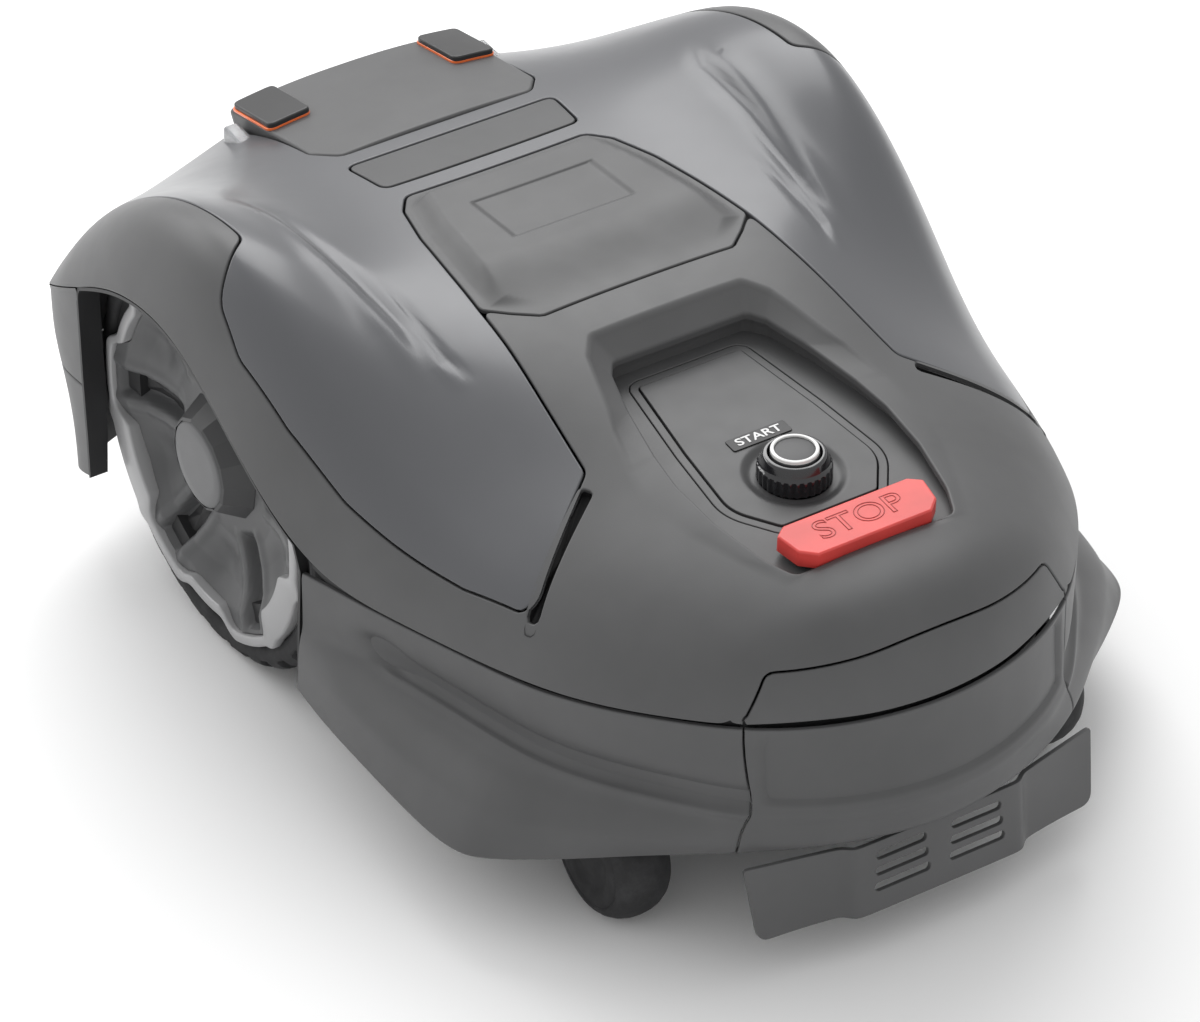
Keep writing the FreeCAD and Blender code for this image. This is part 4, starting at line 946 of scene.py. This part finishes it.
def fold_along(points, line, width, depth):
    """A groove with a ridge on its outer side along a plan line, fading out at both ends."""
    line = np.array(line, float)
    x, y = np.abs(points[:, 0]), points[:, 1]
    best = np.full(len(points), 1e9)
    offset = np.zeros(len(points))
    share = np.zeros(len(points))
    lengths = np.linalg.norm(np.diff(line, axis=0), axis=1)
    start = 0.0
    for (a, b), length in zip(zip(line, line[1:]), lengths):
        along = (b - a) / length
        t = np.clip((x - a[0]) * along[0] + (y - a[1]) * along[1], 0, length)
        dx, dy = x - a[0] - along[0] * t, y - a[1] - along[1] * t
        gap = np.hypot(dx, dy)
        nearer = gap < best
        best = np.where(nearer, gap, best)
        offset = np.where(nearer, gap * np.sign(dx), offset)
        share = np.where(nearer, (start + t) / lengths.sum(), share)
        start += length
    fade = smooth_step(share / 0.35) * smooth_step((1 - share) / 0.3)
    return depth * fade * (0.7 * bell((offset - 1.5 * width) / (1.4 * width)) - bell(offset / width))


def cover_relief(points):
    """The creases pressed into the wings."""
    return fold_along(points, CREASE, 6.5, 3.4) + fold_along(points, FOLD, 4.0, 1.6)


cover_patch = Patch(DECK_POLES, cover_relief)


def cover_loop():
    """Round the glossy cover: out along both wings and back round the hatch and the bridge."""
    seam = deck_seam(WING_OUTER + WING_END + WING_INNER + HATCH_SIDE)
    bridge = deck_seam(BRIDGE_SIDE)
    left = deck_edge(0.0, seam[-1, 1], 0.0, bridge[-1, 1])[1:-1]
    right = deck_edge(0.0, bridge[0, 1], 0.0, seam[0, 1])[1:-1]
    return even(np.vstack([seam, left, bridge[::-1], right]), deck)[::-1]


NAMEPLATE = [(77, 213, 7), (72, 173, 7)]
nameplate_loop = deck_loop(both(NAMEPLATE))
stand_in(panel(cover_patch, [cover_loop(), nameplate_loop[::-1]], grid=3.4), "top_cover", glossy_grey)
stand_in(panel(deck, [nameplate_loop]), "nameplate", satin_plate)

HATCH_WIDTHS = ((-10, 69), (17, 97.5), (62, 92), (105, 86), (141, 77), (157, 66))


def hatch_relief(points):
    """The raised pad on the hatch, with a long near slope and a shallow recess for a label."""
    x, y = np.abs(points[:, 0]), points[:, 1]
    half = np.interp(y, *zip(*HATCH_WIDTHS))
    pad = smooth_step((half - x - 4) / 16.0) * smooth_step((153 - y) / 14.0) * smooth_step((y + 4) / 54.0)
    recess = smooth_step((45 - x) / 2.6) * smooth_step((y - 61) / 2.6) * smooth_step((115 - y) / 2.6)
    return 9.0 * pad - 1.5 * recess


hatch_patch = Patch(DECK_POLES, hatch_relief)
hatch_outline = deck_loop(both(HATCH_SIDE[::-1] + HATCH_BACK))
stand_in(panel(hatch_patch, [hatch_outline], grid=2.2), "hatch", body_plastic)


# ---- bumper
BUMPER_LINES = (
    ((240, -3), (240, -2), (243, 0), (243, 2), (152, 108, 86, 60)),
    ((232, -40), (229, -38), (246, -34), (247, -30), (155, 108, 86, 60)),
    ((222, -82), (215, -80), (246, -78), (248, -75), (158, 109, 86, 60)),
    ((208, -138), (202, -138), (240, -138), (249, -136), (163, 110, 86, 60)),
    ((197, -184), (192, -184), (232, -190), (247, -190), (167, 111, 87, 60)),
    ((186, -212), (180, -214), (214, -216), (226, -212), (170, 111, 88, 62)),
    ((169, -241), (163, -243), (188, -246), (192, -241), (172, 112, 90, 68)),
    ((146, -270), (141, -273), (158, -274), (157, -267), (174, 112, 92, 74)),
    ((122, -297), (119, -302), (130, -301), (127, -294), (175, 112, 94, 80)),
    ((88, -322), (86, -328), (88, -328), (84, -320), (176, 112, 96, 84)),
    ((44, -339), (43, -346), (43, -345), (42, -335), (177, 112, 97, 84)),
    ((0, -345), (0, -352), (0, -351), (0, -340), (178, 112, 97, 84)),
)


def bumper_poles():
    lines = []
    for top, lip, crease, foot, (z_top, z_lip, z_crease, z_foot) in BUMPER_LINES:
        ledge = ((lip[0] + crease[0]) / 2, (lip[1] + crease[1]) / 2)
        down = ((top, z_top - 1.6), (top, (z_top + z_lip) / 2 + 8), (lip, z_lip + 12), (lip, z_lip),
                (ledge, (z_lip + z_crease) / 2 + 4), (crease, z_crease), (crease, z_crease - 8),
                (foot, z_foot))
        lines.append([(x, y, z) for (x, y), z in down])
    return lines + [[(-x, y, z) for x, y, z in line] for line in reversed(lines[:-1])]


SPLIT_X = 117.0


def skirt_relief(points):
    """The lip above the skirt's ledge, the groove over it and the scoop where it starts."""
    y, z = points[:, 1], points[:, 2]
    lip_z = np.interp(y, (-345, 0), (113, 109))
    started = smooth_step((-50 - y) / 30)
    ridge = 3.0 * bell((z - lip_z) / 3.4) * started
    groove = -4.2 * bell((z - lip_z - 11) / 7.0) * started
    scoop = -7.5 * bell((y + 70) / 14) * bell((z - lip_z - 13) / 9)
    bead = 1.0 * bell((z - 61) / 2.0) * smooth_step((y + 210) / 20)
    return ridge + groove + scoop + bead


def back_relief(points):
    """The band sunk across the middle of the back, over its lower lip."""
    x, z = np.abs(points[:, 0]), points[:, 2]
    inside_band = smooth_step((171 - z) / 5) * smooth_step((z - 119) / 7) * smooth_step((110 - x) / 8)
    return 1.4 * bell((z - 113) / 5) - 5.0 * inside_band


skirt_patch = Patch(bumper_poles(), skirt_relief)
back_patch = Patch(bumper_poles(), back_relief)


def rectangle(patch, u0, u1, v0, v1):
    """A closed loop of parameters round a rectangle of a patch, anticlockwise."""
    return even(np.array([(u0, v0), (u1, v0), (u1, v1), (u0, v1)], float), patch)


def bumper_split():
    """Where the skirts end and the rear bumper starts, as a place along the bumper."""
    us = np.linspace(0, skirt_patch.u_max / 2, 400)
    x = skirt_patch.bare_point(us, np.full(400, skirt_patch.v_max * 0.6))[:, 0]
    return float(us[np.argmax(x < SPLIT_X)])


split = bumper_split()
for side, (u0, u1) in (("right", (0.0, split)), ("left", (skirt_patch.u_max - split, skirt_patch.u_max))):
    loop = rectangle(skirt_patch, u0, u1, 0, skirt_patch.v_max)
    stand_in(panel(skirt_patch, [loop], gap=0.5, grid=2.6), f"skirt_{side}", body_plastic)


def notch_loop():
    """The part of the deck's end that the rear bumper fills, anticlockwise from outside."""
    seam = back_seam()
    floor_edge = deck_edge(deck.u_max, seam[-1, 1], deck.u_max, seam[0, 1])[1:-1]
    return even(np.vstack([seam[::-1], floor_edge[::-1]]), deck)


rear = Shape()
back_loop = rectangle(back_patch, split, back_patch.u_max - split, 0, back_patch.v_max)
for patch, loop in ((deck, notch_loop()), (back_patch, back_loop)):
    panel(patch, [loop], gap=0.6, roll=1.0, grid=3.0, onto=rear)
stand_in(rear, "rear_bumper", body_plastic)


# ---- slotted guard under the back
GUARD_HALF = ((0, -338, -343), (30, -338, -343), (56, -338, -343), (61, -337, -342), (66, -332, -336),
              (71, -331, -334), (100, -324, -330), (126, -318, -328))
GUARD_LINES = mirror_row(list(GUARD_HALF))
GUARD_HEIGHTS = (83.5, 66, 50, 33.5)


guard = Patch([[(x, high + (low - high) * share, z) for x, high, low in GUARD_LINES]
               for share, z in zip(np.linspace(0, 1, len(GUARD_HEIGHTS)), GUARD_HEIGHTS)])
GUARD_OUTLINE = [(-121, 33.8, 9), (121, 33.8, 9), (125.5, 83.2, 2), (-125.5, 83.2, 2)]
SLOT_HEIGHT = 6.2
guard_loops = [guard.locate(resample(rounded(GUARD_OUTLINE), 2.0), upright_from=0)]
for k, z in enumerate((70.0, 59.0, 48.0)):
    for side in (-1, 1):
        x, half = side * 27, 18 + k
        slot = box_plan(x - half, z, x + half, z + SLOT_HEIGHT, SLOT_HEIGHT * 0.48, 1.6)
        guard_loops.append(guard.locate(slot, upright_from=0)[::-1])
stand_in(panel(guard, guard_loops, gap=0.0, roll=0.5, grid=3.0), "foot_guard", body_plastic)


# ---- front wall, and near-black wheel-arch linings that paint the shade in the wheel wells
FRONT_LINES = (
    ((249, 257), (246, 262), (212, 140, 62)),
    ((249, 288), (246, 284), (196, 138, 54)),
    ((238, 317), (236, 292), (175, 132, 54)),
    ((216, 321), (214, 298), (190, 134, 58)),
    ((150, 337), (148, 316), (205, 138, 66)),
    ((90, 344), (90, 326), (218, 142, 70)),
    ((0, 348), (0, 330), (228, 144, 72)),
)
CORNER_LINE = 2               # the front wall turns most sharply here
FRONT_SPLIT = 1.05            # how far down the front wall its lower part starts


def front_poles():
    lines = []
    for top, foot, (z_top, z_nose, z_foot) in FRONT_LINES:
        down = ((top, z_top - 0.6), (top, (z_top + z_nose) / 2), (top, z_nose),
                (foot, (z_nose + z_foot) / 2), (foot, z_foot))
        lines.append([(x, y, z) for (x, y), z in down])
    lines[CORNER_LINE:CORNER_LINE + 1] = [lines[CORNER_LINE]] * 2
    return [[(-x, y, z) for x, y, z in line] for line in lines] + lines[-2::-1]


def snug_top(points):
    """The front wall's seam is tight along its top and as wide as the others below."""
    return np.where(points[:, 2] > 150, 0.2, 1.0)


front = Patch(front_poles())
front_wall = Shape()
panel(front, [rectangle(front, 0, front.u_max, 0, FRONT_SPLIT)], gap=0.5, onto=front_wall, snug=snug_top)
panel(front, [rectangle(front, 0, front.u_max, FRONT_SPLIT, front.v_max)], gap=0.5, onto=front_wall)
stand_in(front_wall, "front_bumper", body_plastic)

JOINT_POINTS = 240
fender = deck.bare_point(np.linspace(0, deck.u_max / 2, 300), np.full(300, deck.v_max))
fender = fender[fender[:, 1] > 257]
brow = deck.edge(u=0, count=300)[1:-1]
cover_edge = np.vstack([fender[::-1] * [-1, 1, 1], brow, fender])
wall_edge = front.edge(v=0.02, count=400)
top_row, low_row = [resample(line, None, False, JOINT_POINTS) for line in (cover_edge, wall_edge)]
joint = loft(Shape(), [top_row + [0, 0, -0.8], top_row * 0.5 + low_row * 0.5, low_row + [0, 0, 0.3]],
             closed=False)
dress(joint.make("front_joint_looks", body_plastic), "cover")

LINING_X = 233.5


def arch_line():
    """The edge of the right wheel opening, from the flap's foot over the top to the skirt's foot."""
    edge = deck.edge(v=deck.v_max, count=400)
    edge = edge[(edge[:, 1] < 256) & (edge[:, 1] > 0)]
    flap = [(246, 261, 62), (248, 257, 100), (249, 256, 140), (249, 256, 205)]
    skirt_end = [(240, -1, 150), (241, 1, 110), (243, 2, 62)]
    return resample(np.vstack([flap, edge - [1.0, 0, 3.0], skirt_end]), 4.0, closed=False)


line = arch_line()[::-1]
inner_line = line.copy()
inner_line[:, 0] = LINING_X
away = unit((line - [0, AXLE_Y, WHEEL_RADIUS]) * [0, 1, 1])
# a flange from the arch edge in towards the tyre, near-black to paint the shade in the wheel well
lining = loft(Shape(), [line + away * 2.5, line, inner_line, inner_line + away * 2.5], closed=False)
for side, mirror in SIDES:
    dress(lining.make(f"arch_well_shade_{side}", dark_plastic, mirror), "cover")


# ---- bridge, caps and lenses
BRIDGE_LINES = ((350, 246, 240), (300, 256, 250), (262, 262, 258), (228, 266, 264))


def bridge_patch(rise):
    """The top of the bridge, or a surface above it."""
    return Patch([[(x, y, z + rise) for x, z in
                   ((-88, edge), (-50, middle), (0, middle + 1), (50, middle), (88, edge))]
                  for y, middle, edge in BRIDGE_LINES])


bridge_top, cap_patch, trim_patch = bridge_patch(0.0), bridge_patch(5.0), bridge_patch(1.5)
bridge_plan = resample(rounded(both([(86, 348.5, 2), (84, 246, 9), (71, 229, 9)])), OUTLINE_STEP)
stand_in(panel(bridge_top, [bridge_top.locate(bridge_plan)], gap=0.0, roll=2.4, thick=15.0),
         "front_bridge", body_plastic)
lens_patch = Patch([[(x, y, 239 + 0.05 * (y - 316)) for x in np.linspace(-110, 110, 4)]
                    for y in np.linspace(350, 280, 4)])
caps, trims, lenses = Shape(), Shape(), Shape()
for side in (-1, 1):
    x0, x1 = sorted((side * 54, side * 85))
    cap_plan = box_plan(x0, 296, x1, 346, 5, 1.5)
    x0, x1 = sorted((side * 87.5, side * 99))
    lens_plan = box_plan(x0, 298, x1, 334, 3, 1.5)
    for patch, plan, roll, thick, shape in ((cap_patch, cap_plan, 1.4, 3.4, caps),
                                            (trim_patch, grown(cap_plan, 0.7), 0.5, 1.6, trims),
                                            (lens_patch, lens_plan, 2.4, 32.0, lenses)):
        panel(patch, [patch.locate(plan)], gap=0.0, roll=roll, thick=thick, onto=shape)
stand_in(caps, "bridge_caps", cap_plastic)
stand_in(trims, "bridge_trims", orange_trim)
stand_in(lenses, "headlight_lenses", lens_clear)


# ---- drive wheels
LUGS = 32
SPOKES = 6
TRIM_FACE = 230.5
TRIM_INNER = ((0, 99), (15, 99), (19, 114), (44, 114), (50, 102), (72, 102), (78, 111), (101, 111),
              (105, 99), (120, 99))
TRIM_OUTER = ((0, 121), (14, 121), (17, 126), (20, 121), (44, 121), (50, 110), (72, 110), (78, 120),
              (100, 120), (103, 126), (106, 121), (120, 121))
COVER_DISH = ((41, 213), (60, 212), (75, 214), (90, 218), (102, 225), (120, 228))
wheel_centre = (0, AXLE_Y, WHEEL_RADIUS)
cover_angles = np.arange(360) * FULL_TURN / 360
from_wedge = (np.degrees(cover_angles) - 90) % 120


def eased(values, reach=2):
    """Values round a circle, each averaged with its neighbours."""
    return sum(np.roll(values, k) for k in range(-reach, reach + 1)) / (2 * reach + 1)


trim_inner, trim_outer = [eased(np.interp(from_wedge, *zip(*line))) for line in (TRIM_INNER, TRIM_OUTER)]


def cover_height(radius, angle):
    """How far out the wheel cover's face lies: dished, with a slot in each spoke and scoops between."""
    face = np.interp(radius, *zip(*COVER_DISH))
    pitch = FULL_TURN / SPOKES
    off = (angle + pitch / 2) % pitch - pitch / 2
    along, across = radius * np.cos(off), np.abs(radius * np.sin(off))
    slot = smooth_step((10.5 - across) / 4.0) * smooth_step((along - 49) / 12)
    slot = slot * smooth_step((111 - along) / 5)
    between = angle % pitch - pitch / 2
    scoop = bell((radius - 84) / 13) * bell(radius * between / 15)
    shoulder = 1.6 * bell((across - 15) / 4) * smooth_step((along - 46) / 8)
    return face - 9.5 * slot - 5.5 * scoop + shoulder


COVER_HOLE = 40.5
cover_rim = trim_inner - 0.8
rows = []
for share in np.linspace(0, 1, 60):
    radius = COVER_HOLE + (cover_rim - COVER_HOLE) * share
    rows.append(ring(radius, cover_height(radius, cover_angles), wheel_centre, "x", 360))
cover_shape = loft(Shape(), rows + [rows[-1] - [6, 0, 0]])

TRIM_PROFILE = ((trim_inner, -10), (trim_inner, -1.6), (trim_inner + 0.5, -0.5), (trim_inner + 1.6, 0),
                (trim_outer - 1.6, 0), (trim_outer - 0.5, -0.5), (trim_outer, -1.6), (trim_outer, -10))
trim_shape = loft(Shape(), [ring(r, TRIM_FACE + x, wheel_centre, "x", 360) for r, x in TRIM_PROFILE],
                  crease=60.0)

rim_shape = turned(Shape(), [(96, 205), (96, 219), (121, 222.5), (121.5, 184), (116, 184), (116, 204),
                             (22, 204), (22, 184), (8.6, 184), (8.6, 205), (96, 205)],
                   wheel_centre, "x", 144)
insert_line = box_plan(66, -5.5, 103, 5.5, 4, 2.0)
for k in range(SPOKES):
    turn = k * FULL_TURN / SPOKES
    spun = insert_line @ np.array([[math.cos(turn), math.sin(turn)], [-math.sin(turn), math.cos(turn)]])
    floor_x = np.interp(np.hypot(*spun.T), *zip(*COVER_DISH)) - 8.9
    top_row = np.column_stack([floor_x, spun[:, 0] + AXLE_Y, spun[:, 1] + WHEEL_RADIUS])
    middle_row = np.repeat(top_row.mean(0)[None], len(top_row), 0)
    middle_row[:, 1:] += (top_row[:, 1:] - middle_row[:, 1:]) * 0.02
    loft(rim_shape, [middle_row, top_row, top_row - [4, 0, 0]])

hub_shape = turned(Shape(), [(29.5, 231.2), (31.5, 230.2), (41.5, 213.5), (42.0, 206)], wheel_centre, "x",
                   14, flat=True)
cap_disc = turned(Shape(), [(0.01, 232.0), (20, 232.0), (27, 231.8), (28.6, 231.0), (29.6, 229.0),
                            (29.6, 222)], wheel_centre, "x")
tyre_shape = turned(Shape(), [(121, 219), (121.5, 223), (123.5, 225), (127, 226), (131.5, 225.4)],
                    wheel_centre, "x", 192)
tread_count = LUGS * 12
tread_turn = np.arange(tread_count) * FULL_TURN / tread_count


def lug_wave(phase):
    """One where a groove between lugs lies and nought on the lugs."""
    at = (tread_turn * LUGS / FULL_TURN + phase) % 1.0
    return smooth_step((0.24 - np.abs(at - 0.5)) / 0.08)


TREAD = ((131.5, 225.4, 0, 0.0), (134, 224.6, 1.5, 0.0), (137.2, 222.0, 4.0, 0.0), (139.6, 217.5, 5.5, 0.0),
         (140, 212, 5.5, 0.08), (140, 205.5, 5.5, 0.16), (140, 205.0, 0.0, 0.16), (140, 201.5, 0.0, 0.66),
         (140, 201.0, 5.5, 0.66), (140, 194, 5.5, 0.58), (139.6, 188.5, 5.5, 0.5), (137.2, 184, 4.0, 0.5),
         (131.5, 180.6, 0.0, 0.5), (121, 180.6, 0.0, 0.5))
loft(tyre_shape, [ring(r - depth * lug_wave(phase), x, wheel_centre, "x", tread_count)
                  for r, x, depth, phase in TREAD], flat=True)

for side, mirror in SIDES:
    body = f"drive_wheel_{side}"
    for shape, part, material, slot in (
            (cover_shape, "wheel_cover", wheel_grey, "wheel_plastic"),
            (trim_shape, "wheel_trim", silver, "silver"),
            (rim_shape, "wheel_rim", dark_plastic, "wheel_plastic"),
            (cap_disc, "hub_cap", hub_light, "wheel_plastic"),
            (tyre_shape, "tyre", tyre_rubber, "tyre")):
        stand_in(shape, f"{part}_{side}", material, body, mirror)
    dress(hub_shape.make(f"hub_{side}_looks", hub_grey, mirror), body)


# ---- caster wheels
caster_low, caster_high = box_mm("caster_wheel_right")
caster_centre = (caster_low + caster_high) / 2
CASTER_RADIUS = (caster_high[2] - caster_low[2]) / 2
CASTER_HALF = (caster_high[0] - caster_low[0]) / 2
CASTER_PROFILE = ((0.01, -0.6), (9, -0.6), (11, -1.6), (20, -1.6), (21.5, -0.4), (30, 0), (31.5, -0.9),
                  (33, 0), (35.5, -0.6), (38.4, -3.4), (41, -8), (42.5, -13), (43, -19))
face = [(r * CASTER_RADIUS / 43, CASTER_HALF + h) for r, h in CASTER_PROFILE]
caster = turned(Shape(), face + [(r, -h) for r, h in reversed(face[:-1])], caster_centre, "x")
for side, mirror in SIDES:
    stand_in(caster, f"caster_wheel_{side}", tyre_rubber, f"caster_wheel_{side}", mirror)


# ---- camera, floor and light
CAMERA_PLACE = Vector((-1666.16, -2616.95, 2385.23)) * MM
CAMERA_TURN = (math.radians(32.123), math.radians(36.391), math.radians(-0.448))
CAMERA_LENS = 184.03


def make_camera():
    yaw, pitch, roll = CAMERA_TURN
    back = Vector((-math.sin(yaw) * math.cos(pitch), -math.cos(yaw) * math.cos(pitch), math.sin(pitch)))
    right = Vector((0, 0, 1)).cross(back).normalized()
    up = back.cross(right)
    right, up = (right * math.cos(roll) + up * math.sin(roll),
                 up * math.cos(roll) - right * math.sin(roll))
    turn = Matrix((right, up, back)).transposed().to_4x4()
    data = bpy.data.cameras.new("camera")
    data.lens = CAMERA_LENS
    data.sensor_width = 36.0
    camera = bpy.data.objects.new("camera", data)
    camera.matrix_world = Matrix.Translation(CAMERA_PLACE) @ turn
    bpy.context.scene.collection.objects.link(camera)
    bpy.context.scene.camera = camera


def soft_light(name, place_at, target, size, power):
    data = bpy.data.lights.new(name, "AREA")
    data.shape = "RECTANGLE"
    data.size, data.size_y = size
    data.energy = power
    light = bpy.data.objects.new(name, data)
    light.location = place_at
    light.rotation_euler = (Vector(target) - Vector(place_at)).to_track_quat("-Z", "Y").to_euler()
    bpy.context.scene.collection.objects.link(light)


make_camera()
floor_mesh = bpy.data.meshes.new("floor")
floor_mesh.from_pydata([(-30, -30, 0), (30, -30, 0), (30, 30, 0), (-30, 30, 0)], [], [(0, 1, 2, 3)])
floor_nodes = Nodes("floor_paper")
floor_material = floor_nodes.wire(Base_Color=(0.95, 0.95, 0.95, 1.0), Roughness=0.85)
place("floor", floor_mesh, floor_material)

world = bpy.data.worlds.new("studio")
bpy.context.scene.world = world
world.use_nodes = True
world.node_tree.nodes["Background"].inputs["Color"].default_value = (1.0, 1.0, 1.0, 1.0)
world.node_tree.nodes["Background"].inputs["Strength"].default_value = 0.8
soft_light("key", (0.9, 1.8, 2.4), (0, 0, 0.15), (2.2, 2.2), 62)
soft_light("back", (-1.0, 2.6, 1.6), (0, 0, 0.2), (2.2, 1.0), 30)
bpy.context.scene.view_settings.view_transform = "Standard"
